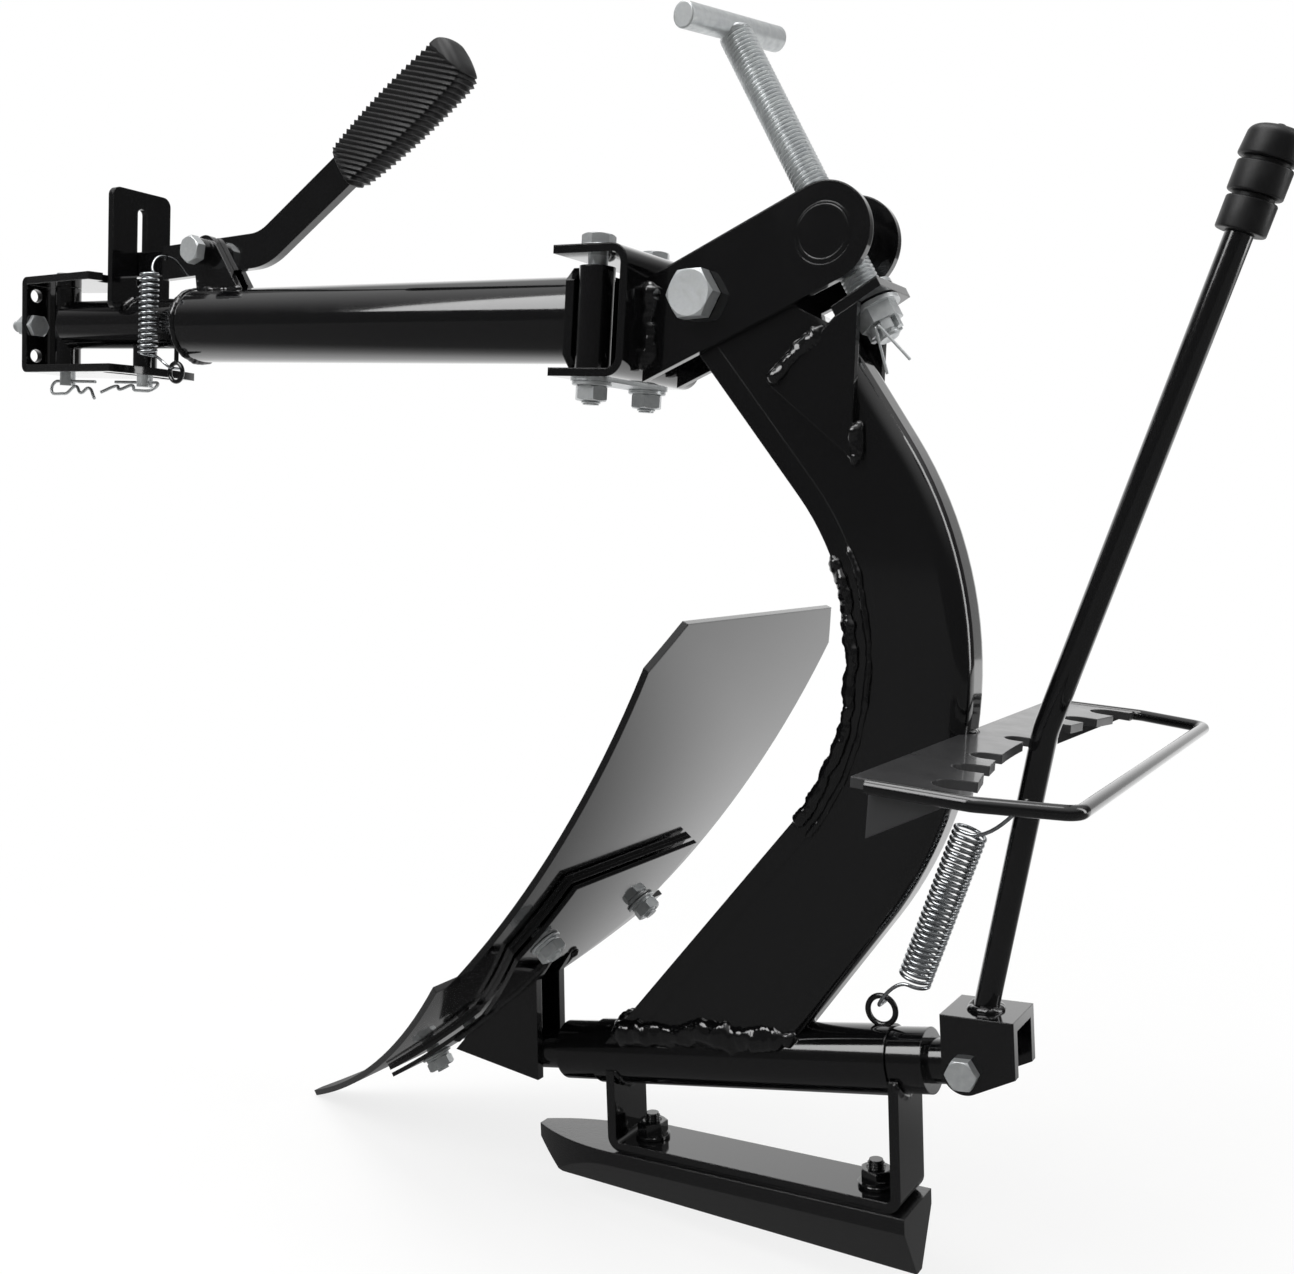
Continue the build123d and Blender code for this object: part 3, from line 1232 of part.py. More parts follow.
# Lever return spring and its eye on the axle tube
eye_x, eye_z = axle_point(LEVER_EYE_S, AXLE_R + LEVER_EYE_R)
with BuildPart() as lever_spring_eye:
    with BuildSketch(Plane((eye_x + LEVER_EYE_R, 0, eye_z))):
        Circle(EYE_WIRE_R)
    revolve(axis=Axis((eye_x, 0, eye_z), (0, 1, 0)))
    with BuildSketch(axle_plane(AXLE_FRONT)):
        Circle(AXLE_R)
    extrude(amount=axle_len, mode=Mode.SUBTRACT)

lever_coil_top = lever_origin + Vector(LEVER_COIL_TOP[0], 0, LEVER_COIL_TOP[1])
lever_coil_foot = lever_origin + Vector(LEVER_COIL_FOOT[0], 0, LEVER_COIL_FOOT[1])
ring_z = eye_z + LEVER_EYE_R - EYE_WIRE_R - 2.5
lever_coil = (lever_coil_top, lever_coil_foot, LEVER_COIL_R, LEVER_CURLS)
lever_nodes = [
    (rod_hook + Vector(0, LEVER_R + 4, 0), Vector(0, -1, 0)),
    (rod_hook - Vector(0, LEVER_R + 1, 0), Vector(0, -1, 0)),
    *coil_nodes(*lever_coil, Vector(0, -1, 0)),
    (Vector(eye_x, -3, ring_z), Vector(0, 1, 0)),
    (Vector(eye_x, 5, ring_z), Vector(0, 1, 0)),
]
with BuildPart() as lever_spring:
    with BuildLine() as lever_wire:
        for start, heading, end in wire_runs(lever_nodes):
            if heading is None:
                Line(start, end)
            else:
                TangentArc(start, end, tangent=heading)
    with BuildSketch(Plane(lever_nodes[0][0], z_dir=lever_nodes[0][1])):
        Circle(WIRE_R)
    sweep()
lever_gap = least_gap(lever_wire.wire(), lever_wire.wire().length, 2 * pi * LEVER_COIL_R)
print(f"lever spring least gap {lever_gap:.2f} mm")

# Foot: bent strap under the axle tube, with a tapered skid on two studs
foot_run = Vector(cos(FOOT_SLOPE), 0, sin(FOOT_SLOPE))
foot_rise = Vector(-sin(FOOT_SLOPE), 0, cos(FOOT_SLOPE))
foot_origin = Vector(foot_start.X, 0, foot_start.Y)
foot_top = Plane(foot_origin, x_dir=foot_run, z_dir=foot_rise)
foot_side = Plane(foot_origin, x_dir=foot_run, z_dir=(0, -1, 0))
axle_rise = FOOT_DROP * cos(AXLE_TILT) - FOOT_AHEAD * sin(AXLE_TILT)
foot_front_h = axle_rise / cos(AXLE_TILT - FOOT_SLOPE)
foot_rear_h = foot_front_h + FOOT_LEN * tan(AXLE_TILT - FOOT_SLOPE)
stud_spots = ((STUD_FRONT, 0), (STUD_REAR, 0))
with BuildPart() as foot_strap:
    with BuildSketch(foot_side):
        with BuildLine():
            FilletPolyline(
                (STRAP_T / 2, foot_front_h),
                (STRAP_T / 2, STRAP_T / 2),
                (FOOT_LEN - STRAP_T / 2, STRAP_T / 2),
                (FOOT_LEN - STRAP_T / 2, foot_rear_h),
                radius=STRAP_BEND - STRAP_T / 2,
            )
        trace(line_width=STRAP_T)
    extrude(amount=STRAP_HALF_W, both=True)
    with BuildSketch(axle_plane(AXLE_FRONT - COLLAR_R)):
        Circle(AXLE_R)
    extrude(amount=axle_len + 4 * COLLAR_R, mode=Mode.SUBTRACT)
    with BuildSketch(foot_top):
        with Locations(*stud_spots):
            Circle(STUD_R)
    extrude(amount=STRAP_T, mode=Mode.SUBTRACT)

with BuildPart() as foot_skid:
    with BuildSketch(Plane(foot_origin + foot_run * SKID_NOSE, x_dir=(0, 1, 0), z_dir=foot_run)):
        Polygon(
            (-SKID_HALF_W, 0),
            (-SKID_HALF_W, -SKID_SIDE),
            (-SKID_KEEL, -SKID_DEPTH),
            (SKID_KEEL, -SKID_DEPTH),
            (SKID_HALF_W, -SKID_SIDE),
            (SKID_HALF_W, 0),
            align=None,
        )
    extrude(amount=SKID_REAR - SKID_NOSE)
    with BuildSketch(foot_side):
        Polygon(
            (SKID_NOSE, 0),
            (SKID_REAR, 0),
            (SKID_REAR, -SKID_DEPTH),
            (SKID_NOSE + SKID_CHIN, SKID_CHIN_RISE - SKID_DEPTH),
            (SKID_NOSE, -SKID_SIDE),
            align=None,
        )
    extrude(amount=SKID_HALF_W, both=True, mode=Mode.INTERSECT)
    with BuildSketch(foot_top):
        with BuildLine():
            ThreePointArc((0, SKID_HALF_W), (-SKID_BOW[0], SKID_BOW[1]), (SKID_NOSE, SKID_KEEL))
            Line((SKID_NOSE, SKID_KEEL), (SKID_NOSE, -SKID_KEEL))
            ThreePointArc((SKID_NOSE, -SKID_KEEL), (-SKID_BOW[0], -SKID_BOW[1]), (0, -SKID_HALF_W))
            Line((0, -SKID_HALF_W), (SKID_REAR, -SKID_HALF_W))
            Line((SKID_REAR, -SKID_HALF_W), (SKID_REAR, SKID_HALF_W))
            Line((SKID_REAR, SKID_HALF_W), (0, SKID_HALF_W))
        make_face()
    extrude(amount=-SKID_DEPTH, mode=Mode.INTERSECT)
    with BuildSketch(foot_top):
        with Locations(*stud_spots):
            Circle(STUD_R)
    extrude(amount=-0.6 * SKID_DEPTH, mode=Mode.SUBTRACT)

stud_nut_h = 8.0
with BuildPart() as skid_studs:
    with BuildSketch(foot_top.offset(-0.6 * SKID_DEPTH)):
        with Locations(*stud_spots):
            Circle(STUD_R)
    extrude(amount=0.6 * SKID_DEPTH + STRAP_T + WASHER_T + stud_nut_h + 5)

with BuildPart() as skid_nuts:
    with BuildSketch(foot_top.offset(STRAP_T)):
        with Locations(*stud_spots):
            Circle(11)
        with Locations(*stud_spots):
            Circle(STUD_R, mode=Mode.SUBTRACT)
    extrude(amount=WASHER_T)
    with BuildSketch(foot_top.offset(STRAP_T + WASHER_T)):
        with Locations(*stud_spots):
            RegularPolygon(BODY_NUT_AF / 2, 6, major_radius=False)
        with Locations(*stud_spots):
            Circle(STUD_R, mode=Mode.SUBTRACT)
    extrude(amount=stud_nut_h)

# One file for each piece
pieces = {
    "hitch_yoke": hitch_yoke,
    "steady_bolts": steady_bolts,
    "steady_nuts": steady_nuts,
    "swing_pin": swing_pin,
    "swing_pin_clip": swing_pin_clip,
    "guide_pin": guide_pin,
    "guide_pin_clip": guide_pin_clip,
    "drawbar_tube": drawbar_tube,
    "drawbar_neck": drawbar_neck,
    "neck_sleeves": neck_sleeves,
    "latch_guide_plate": latch_guide_plate,
    "latch_lever_bar": latch_lever_bar,
    "latch_lever_grip": latch_lever_grip,
    "lever_bracket": lever_bracket,
    "lever_pivot_bolt": lever_pivot_bolt,
    "latch_spring_eye": latch_spring_eye,
    "latch_spring": latch_spring,
    "drawbar_cross_plate": drawbar_cross_plate,
    "hinge_sleeves": hinge_sleeves,
    "hinge_bracket": hinge_bracket,
    "hinge_bolts": hinge_bolts,
    "drawbar_nuts": drawbar_nuts,
    "hinge_lock_plate": hinge_lock_plate,
    "hinge_ears": hinge_ears,
    "pitch_bolt": pitch_bolt,
    "pitch_nut": pitch_nut,
    "trunnion_nut": trunnion_nut,
    "depth_screw": depth_screw,
    "screw_tee": screw_tee,
    "screw_washers": screw_washers,
    "castle_nut": castle_nut,
    "split_pin": split_pin,
    **beam_shells,
    "screw_gussets": screw_gussets,
    "screw_cross_plate": screw_cross_plate,
    "index_plate": index_plate,
    "index_tabs": index_tabs,
    "lever_guard": lever_guard,
    "axle_tube": axle_tube,
    "beam_bushes": beam_bushes,
    "lever_spring_eye": lever_spring_eye,
    "lever_spring": lever_spring,
    "foot_strap": foot_strap,
    "foot_skid": foot_skid,
    "skid_studs": skid_studs,
    "skid_nuts": skid_nuts,
    "axle_shaft": axle_shaft,
    "shaft_collars": shaft_collars,
    **round_plates,
    "frog_gussets": frog_gussets,
    "plough_bolts": plough_bolts,
    "plough_nuts": plough_nuts,
    "lever_socket": lever_socket,
    "lever_rod": lever_rod,
    "lever_knob": lever_knob,
    "lever_cross_bolt": lever_cross_bolt,
    "lever_cross_nut": lever_cross_nut,
}
os.makedirs("parts", exist_ok=True)
for name, built in pieces.items():
    built.part.label = name
    export_step(built.part, f"parts/{name}.step")
print(len(pieces), "pieces")
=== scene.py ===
"""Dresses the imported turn-over plough: finishes, threads, springs, grips, fasteners and welds.

Sizes are in millimetres in the part's own frame (X rearward, Y across, Z up) and become metres
where a mesh is made.
"""

import json
import logging
import math
from dataclasses import dataclass
from enum import Enum
from typing import Iterable, Optional, Sequence, Union

import bpy
from mathutils import Matrix, Vector, noise


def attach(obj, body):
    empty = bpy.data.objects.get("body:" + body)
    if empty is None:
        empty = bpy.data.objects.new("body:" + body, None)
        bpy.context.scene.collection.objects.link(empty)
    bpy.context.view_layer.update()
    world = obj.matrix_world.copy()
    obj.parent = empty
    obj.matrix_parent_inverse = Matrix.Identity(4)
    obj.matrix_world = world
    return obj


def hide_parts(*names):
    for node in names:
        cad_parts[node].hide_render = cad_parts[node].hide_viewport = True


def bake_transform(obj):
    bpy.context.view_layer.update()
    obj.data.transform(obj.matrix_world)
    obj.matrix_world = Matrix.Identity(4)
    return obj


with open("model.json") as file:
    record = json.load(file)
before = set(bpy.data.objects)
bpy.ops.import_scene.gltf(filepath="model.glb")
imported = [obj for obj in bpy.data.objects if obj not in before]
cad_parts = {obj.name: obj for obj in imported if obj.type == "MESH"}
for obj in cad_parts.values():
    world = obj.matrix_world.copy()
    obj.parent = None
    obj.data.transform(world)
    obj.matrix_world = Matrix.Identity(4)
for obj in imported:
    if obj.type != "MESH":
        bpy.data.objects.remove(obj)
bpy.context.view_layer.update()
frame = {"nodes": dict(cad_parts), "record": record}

LOG = logging.getLogger("plough")
MM = 0.001
WELD_SEED = 1
IMAGE_WIDTH = 1294
WHITE = "#FFFFFF"
NOISE_ROUGHNESS = 0.55
NOISE_MIDDLE = (0.3, 0.7)
FRONT, REAR = Vector((-1, 0, 0)), Vector((1, 0, 0))
NEAR, FAR = Vector((0, -1, 0)), Vector((0, 1, 0))
DOWN, UP = Vector((0, 0, -1)), Vector((0, 0, 1))

Profile = Sequence[tuple[float, float]]
Rings = Sequence[Sequence[Vector]]
Shape = tuple[list[Vector], list[tuple[int, ...]]]


class Body(Enum):
    """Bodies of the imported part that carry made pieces."""

    YOKE = "yoke"
    DRAWBAR = "drawbar"
    LATCH = "latch_lever"
    TRUNNION = "trunnion"
    BEAM = "beam"
    SCREW = "screw"
    PLOUGH = "plough"
    LEVER = "rear_lever"


class Slot(Enum):
    """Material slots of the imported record."""

    ENAMEL = "black_enamel"
    ZINC = "zinc_plate"
    RUBBER = "moulded_rubber"
    BUSH = "sintered_bush"


class Crease(Enum):
    """Angle in degrees above which an edge of a made piece stays sharp."""

    MACHINED = 25.0
    THREAD = 40.0
    MOULDED = 50.0
    WIRE = 60.0
    WELD = 75.0


# Shared shader helpers


def linear(colour: str) -> tuple[float, float, float, float]:
    """Turn an sRGB hex colour into linear values.

    Args:
        colour: Colour as "#RRGGBB".

    Returns:
        Linear red, green, blue and an alpha of one.
    """
    parts = [int(colour[i:i + 2], 16) / 255 for i in (1, 3, 5)]
    red, green, blue = (c / 12.92 if c <= 0.04045 else ((c + 0.055) / 1.055) ** 2.4 for c in parts)
    return (red, green, blue, 1.0)


def add_node(
    tree: bpy.types.NodeTree,
    kind: str,
    settings: Optional[dict[Union[str, int], object]] = None,
    links: Optional[dict[Union[str, int], bpy.types.NodeSocket]] = None,
) -> bpy.types.Node:
    """Add one shader node with its settings and its incoming links.

    Args:
        tree: Node tree that takes the node.
        kind: Blender's type name of the node.
        settings: Values for the node's own options or for its input sockets.
        links: Output sockets to join to the node's inputs.

    Returns:
        The new node.
    """
    node = tree.nodes.new(kind)
    for key, value in (settings or {}).items():
        if isinstance(key, str) and key not in node.inputs:
            setattr(node, key, value)
        else:
            node.inputs[key].default_value = value
    for key, source in (links or {}).items():
        tree.links.new(source, node.inputs[key])
    return node


def empty_material(name: str) -> tuple[bpy.types.Material, bpy.types.NodeTree]:
    """Make a material with an empty node tree.

    Args:
        name: Name of the real material.

    Returns:
        The material and its node tree.
    """
    material = bpy.data.materials.new(name)
    material.use_nodes = True
    material.node_tree.nodes.clear()
    return material, material.node_tree


def per_metre(size_mm: float) -> float:
    """Noise scale, in features for each metre, of a feature this many millimetres wide."""
    return 1.0 / (size_mm * MM)


def noise_value(tree: bpy.types.NodeTree, size_mm: float, detail: float) -> bpy.types.NodeSocket:
    """Add noise laid in the part's own frame.

    Args:
        tree: Node tree that takes the nodes.
        size_mm: Width of one feature in millimetres.
        detail: Octaves of finer noise.

    Returns:
        The noise's value socket.
    """
    place = add_node(tree, "ShaderNodeTexCoord")
    grain = add_node(
        tree,
        "ShaderNodeTexNoise",
        {"Scale": per_metre(size_mm), "Detail": detail, "Roughness": NOISE_ROUGHNESS},
        {"Vector": place.outputs["Object"]},
    )
    return grain.outputs["Fac"]


def ranged(
    tree: bpy.types.NodeTree, value: bpy.types.NodeSocket, low: float, high: float
) -> bpy.types.NodeSocket:
    """Stretch a noise value's middle part to a range.

    Args:
        tree: Node tree that takes the node.
        value: Noise value between nought and one.
        low: Result where the noise is low.
        high: Result where the noise is high.

    Returns:
        The ranged value socket.
    """
    start, end = NOISE_MIDDLE
    node = add_node(
        tree,
        "ShaderNodeMapRange",
        {"From Min": start, "From Max": end, "To Min": low, "To Max": high},
        {"Value": value},
    )
    return node.outputs["Result"]


@dataclass(frozen=True)
class GlossEnamel:
    """Gloss black enamel, sprayed on steel and stoved.

    The eye sees deep black, mirror-like reflections that ripple a little with the spray's peel,
    fine dust nibs caught in the coat, and edges that the coat has drawn round.
    """

    name: str = "gloss_black_enamel_on_steel"
    colour: str = "#0A0A0B"
    roughness: float = 0.09
    spread: float = 0.05
    haze_mm: float = 26.0
    peel_mm: float = 2.2
    peel_depth_mm: float = 0.012
    # Real nibs are about 0.2 mm wide, too fine to show, so they are drawn coarser.
    nib_mm: float = 0.7
    nib_depth_mm: float = 0.006
    edge_mm: float = 1.2
    ior: float = 1.5
    coat: float = 0.8
    coat_roughness: float = 0.05

    def build(self) -> bpy.types.Material:
        """Make the enamel's material.

        Returns:
            The material.
        """
        material, tree = empty_material(self.name)
        haze = noise_value(tree, self.haze_mm, 3.0)
        rough = ranged(tree, haze, self.roughness - self.spread / 2, self.roughness + self.spread)
        peel = noise_value(tree, self.peel_mm, 1.0)
        edge = add_node(tree, "ShaderNodeBevel", {"samples": 4, "Radius": self.edge_mm * MM})
        ripple = add_node(
            tree,
            "ShaderNodeBump",
            {"Strength": 1.0, "Distance": self.peel_depth_mm * MM},
            {"Height": peel, "Normal": edge.outputs["Normal"]},
        )
        nibs = noise_value(tree, self.nib_mm, 0.0)
        grit = add_node(
            tree,
            "ShaderNodeBump",
            {"Strength": 1.0, "Distance": self.nib_depth_mm * MM},
            {"Height": nibs, "Normal": ripple.outputs["Normal"]},
        )
        coat = add_node(
            tree,
            "ShaderNodeBsdfPrincipled",
            {
                "Base Color": linear(self.colour),
                "IOR": self.ior,
                "Coat Weight": self.coat,
                "Coat Roughness": self.coat_roughness,
            },
            {"Roughness": rough, "Normal": grit.outputs["Normal"]},
        )
        add_node(tree, "ShaderNodeOutputMaterial", links={"Surface": coat.outputs["BSDF"]})
        return material


@dataclass(frozen=True)
class ZincPlate:
    """Bright zinc plate on turned or forged steel.

    The eye sees a cool silver grey under a thin pale film, with soft cloudy patches from the bath
    and fine turning lines.
    """

    name: str = "bright_zinc_plate_on_steel"
    colour: str = "#D0D3D3"
    shade: str = "#BCBFC1"
    roughness: float = 0.34
    duller: float = 0.08
    brighter: float = 0.06
    cloud_mm: float = 5.0
    # Real turning lines are about 0.1 mm apart, too fine to show, so they are drawn coarser.
    line_mm: float = 0.5
    line_depth_mm: float = 0.004
    metal: float = 0.62

    def build(self) -> bpy.types.Material:
        """Make the zinc plate's material.

        Returns:
            The material.
        """
        material, tree = empty_material(self.name)
        cloud = noise_value(tree, self.cloud_mm, 4.0)
        tint = add_node(
            tree,
            "ShaderNodeMix",
            {"data_type": "RGBA", 6: linear(self.shade), 7: linear(self.colour)},
            {0: ranged(tree, cloud, 0.0, 1.0)},
        )
        lines = noise_value(tree, self.line_mm, 2.0)
        turned = add_node(
            tree,
            "ShaderNodeBump",
            {"Strength": 1.0, "Distance": self.line_depth_mm * MM},
            {"Height": lines},
        )
        plate = add_node(
            tree,
            "ShaderNodeBsdfPrincipled",
            {"Metallic": self.metal},
            {
                "Base Color": tint.outputs[2],
                "Roughness": ranged(
                    tree, cloud, self.roughness + self.duller, self.roughness - self.brighter
                ),
                "Normal": turned.outputs["Normal"],
            },
        )
        add_node(tree, "ShaderNodeOutputMaterial", links={"Surface": plate.outputs["BSDF"]})
        return material


@dataclass(frozen=True)
class MouldedRubber:
    """Black rubber, pressed in a blasted mould.

    The eye sees a soft dark grey sheen with a fine matte grain and slightly dusty high spots.
    """

    name: str = "matte_black_moulded_rubber"
    colour: str = "#0D0D0E"
    dust: str = "#1A1A1B"
    roughness: float = 0.36
    duller: float = 0.18
    dust_mm: float = 14.0
    dust_share: float = 0.6
    # A blasted mould's grain is about 0.2 mm wide, too fine to show, so it is drawn coarser.
    grain_mm: float = 0.8
    grain_depth_mm: float = 0.04
    grain_strength: float = 0.8
    ior: float = 1.5
    specular: float = 0.4

    def build(self) -> bpy.types.Material:
        """Make the rubber's material.

        Returns:
            The material.
        """
        material, tree = empty_material(self.name)
        dusty = noise_value(tree, self.dust_mm, 4.0)
        tint = add_node(
            tree,
            "ShaderNodeMix",
            {"data_type": "RGBA", 6: linear(self.colour), 7: linear(self.dust)},
            {0: ranged(tree, dusty, 0.0, self.dust_share)},
        )
        grain = noise_value(tree, self.grain_mm, 2.0)
        pressed = add_node(
            tree,
            "ShaderNodeBump",
            {"Strength": self.grain_strength, "Distance": self.grain_depth_mm * MM},
            {"Height": grain},
        )
        rubber = add_node(
            tree,
            "ShaderNodeBsdfPrincipled",
            {"IOR": self.ior, "Specular IOR Level": self.specular},
            {
                "Base Color": tint.outputs[2],
                "Roughness": ranged(tree, dusty, self.roughness, self.roughness + self.duller),
                "Normal": pressed.outputs["Normal"],
            },
        )
        add_node(tree, "ShaderNodeOutputMaterial", links={"Surface": rubber.outputs["BSDF"]})
        return material


# Shared mesh helpers


def tilted(angle: float) -> tuple[Vector, Vector]:
    """Directions of a line that climbs rearward, and square to it above.

    Args:
        angle: Climb in radians.

    Returns:
        The direction along the line and the one square to it.
    """
    return Vector((math.cos(angle), 0, math.sin(angle))), Vector((-math.sin(angle), 0, math.cos(angle)))


def circle(middle: Vector, first: Vector, second: Vector, radius: float, count: int) -> list[Vector]:
    """Points round a circle.

    Args:
        middle: Middle of the circle.
        first: Direction of the first point.
        second: Direction of the point a quarter turn on.
        radius: Radius of the circle.
        count: Parts of the circle.

    Returns:
        Points round the circle, the first one again at the end.
    """
    turns = [2 * math.pi * k / count for k in range(count + 1)]
    return [middle + first * (radius * math.cos(t)) + second * (radius * math.sin(t)) for t in turns]


def lathe(profile: Profile, sides: int) -> Shape:
    """Turn a profile about the Z axis.

    Args:
        profile: Pairs of radius and height, from one end to the other.
        sides: Facets round the axis.

    Returns:
        Points and faces, the last two of which close the ends.
    """
    return skin([circle(UP * height, REAR, FAR, radius, sides)[:-1] for radius, height in profile])


def skin(rings: Rings, closed: bool = False) -> Shape:
    """Join rings of points into a tube.

    Args:
        rings: Rings with the same number of points.
        closed: Whether the last ring joins the first.

    Returns:
        Points and faces, with caps unless the tube is closed.
    """
    sides = len(rings[0])
    points = [point for ring in rings for point in ring]
    faces: list[tuple[int, ...]] = []
    count = len(rings)
    for ring in range(count if closed else count - 1):
        low, high = ring * sides, ((ring + 1) % count) * sides
        for i in range(sides):
            j = (i + 1) % sides
            faces.append((low + i, low + j, high + j, high + i))
    if not closed:
        faces.append(tuple(reversed(range(sides))))
        faces.append(tuple(range((count - 1) * sides, count * sides)))
    return points, faces


def tube_rings(
    path: Sequence[Vector], radii: Sequence[float], sides: int, closed: bool = False
) -> list[list[Vector]]:
    """Rings of points square to a path, turned as little as the path allows.

    Args:
        path: Points along the middle.
        radii: Radius at each point.
        sides: Points in a ring.
        closed: Whether the path's ends join.

    Returns:
        One ring for each point of the path.
    """
    count = len(path)
    rings = []
    across: Optional[Vector] = None
    for i, (place, radius) in enumerate(zip(path, radii)):
        before = path[i - 1] if i or closed else path[0]
        after = path[(i + 1) % count] if i < count - 1 or closed else path[-1]
        along = (after - before).normalized()
        if across is None:
            across = along.orthogonal().normalized()
        across = (across - along * across.dot(along)).normalized()
        rings.append(circle(place, across, along.cross(across), radius, sides)[:-1])
    return rings


def wire(path: Sequence[Vector], radius: float, sides: int) -> Shape:
    """Round wire along a path.

    Args:
        path: Points along the wire's middle.
        radius: Radius of the wire.
        sides: Facets round the wire.

    Returns:
        Points and faces.
    """
    return skin(tube_rings(path, [radius] * len(path), sides))


def placed(points: Iterable[Vector], origin: Vector, axis: Vector, facing: Vector = UP) -> list[Vector]:
    """Move points from a local frame, whose Z is an axis, to the part's frame.

    Args:
        points: Points in the local frame.
        origin: Local origin in the part's frame.
        axis: Direction of the local Z.
        facing: Direction that the local X leans to.

    Returns:
        The moved points.
    """
    up = axis.normalized()
    ahead = facing - up * facing.dot(up)
    if ahead.length < 1e-6:
        ahead = up.orthogonal()
    ahead.normalize()
    beside = up.cross(ahead)
    return [origin + ahead * p.x + beside * p.y + up * p.z for p in points]


def join(parts: Iterable[Shape]) -> Shape:
    """Put several meshes into one.

    Args:
        parts: Points and faces of each mesh.

    Returns:
        All points and all faces.
    """
    points: list[Vector] = []
    faces: list[tuple[int, ...]] = []
    for some_points, some_faces in parts:
        shift = len(points)
        points.extend(some_points)
        faces.extend(tuple(i + shift for i in face) for face in some_faces)
    return points, faces


def rounded_corner(
    before: Vector, corner: Vector, after: Vector, radius: float, steps: int = 16
) -> list[Vector]:
    """Points of the arc that rounds a corner.

    Args:
        before: Point before the corner.
        corner: The sharp corner.
        after: Point after the corner.
        radius: Radius of the arc.
        steps: Parts of the arc.

    Returns:
        Points from the arc's start to its end.
    """
    back = (before - corner).normalized()
    on = (after - corner).normalized()
    half = math.acos(max(-1.0, min(1.0, back.dot(on)))) / 2
    middle = corner + (back + on).normalized() * (radius / math.sin(half))
    start = corner + back * (radius / math.tan(half)) - middle
    end = corner + on * (radius / math.tan(half)) - middle
    turn = start.angle(end)
    beside = (end - start * math.cos(turn)) / math.sin(turn)
    turns = [turn * k / steps for k in range(steps + 1)]
    return [middle + start * math.cos(t) + beside * math.sin(t) for t in turns]


def evenly(path: Sequence[Vector], step: float) -> list[Vector]:
    """Points at even steps along a path.

    Args:
        path: Corners of the path.
        step: Wanted distance between points.

    Returns:
        Points from the path's start to its end.
    """
    lengths = [0.0]
    for a, b in zip(path, path[1:]):
        lengths.append(lengths[-1] + (b - a).length)
    count = max(2, round(lengths[-1] / step))
    result = []
    leg = 0
    for i in range(count + 1):
        reach = lengths[-1] * i / count
        while leg < len(path) - 2 and lengths[leg + 1] < reach:
            leg += 1
        span = lengths[leg + 1] - lengths[leg]
        result.append(path[leg].lerp(path[leg + 1], (reach - lengths[leg]) / span))
    return result


@dataclass
class Dresser:
    """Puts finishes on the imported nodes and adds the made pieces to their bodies."""

    finishes: dict[Slot, bpy.types.Material]
    own: dict[str, bpy.types.Material]
    made: int = 0

    def paint(self, slots: dict[str, Slot]) -> None:
        """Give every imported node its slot's finish.

        Args:
            slots: Slot of each node's name.
        """
        for name, node in frame["nodes"].items():
            finish = self.own.get(name, self.finishes[slots[name]])
            node.data.materials.clear()
            node.data.materials.append(finish)
            LOG.info("finish %s on %s", finish.name, name)

    def add(
        self,
        name: str,
        shape: Shape,
        body: Body,
        slot: Slot,
        stands_for: Sequence[str] = (),
        crease: Crease = Crease.MACHINED,
        bend: Optional[tuple[Body, Vector, Vector]] = None,
    ) -> bpy.types.Object:
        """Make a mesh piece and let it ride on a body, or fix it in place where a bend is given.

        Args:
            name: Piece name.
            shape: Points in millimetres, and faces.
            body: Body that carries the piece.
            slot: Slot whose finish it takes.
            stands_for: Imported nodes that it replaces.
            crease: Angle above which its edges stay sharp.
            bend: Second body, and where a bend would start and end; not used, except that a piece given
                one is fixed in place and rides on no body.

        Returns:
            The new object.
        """
        points, faces = shape
        mesh = bpy.data.meshes.new(name)
        mesh.from_pydata([tuple(p * MM) for p in points], [], faces)
        mesh.validate()
        mesh.update()
        mesh.materials.append(self.finishes[slot])
        mesh.shade_smooth()
        mesh.set_sharp_from_angle(angle=math.radians(crease.value))
        piece = bpy.data.objects.new(name, mesh)
        bpy.context.scene.collection.objects.link(piece)
        if bend:
            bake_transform(piece)
        else:
            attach(piece, body.value)
        if stands_for:
            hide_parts(*stands_for)
        self.made += 1
        LOG.info("piece %s on %s, %d faces", name, body.value, len(faces))
        return piece


@dataclass(frozen=True)
class HexSize:
    """Sizes of one hexagon fastener. A head's thread is the small ring that closes its foot."""

    flats: float
    height: float
    thread: float
    pitch: float = 1.75


@dataclass(frozen=True)
class Washer:
    """Sizes of one flat washer: outside and hole radius, and thickness."""

    outside: float
    inside: float
    thick: float


@dataclass(frozen=True)
class Seat:
    """Place that a fastener stands on, the way it points, and its turn about that in degrees."""

    place: Vector
    axis: Vector
    spin: float = 0.0
    facing: Vector = UP

    def up(self, height: float, spin: float = 0.0, facing: Vector = UP) -> "Seat":
        """Seat further along the same axis, with a turn of its own."""
        return Seat(self.place + self.axis * height, self.axis, spin, facing)


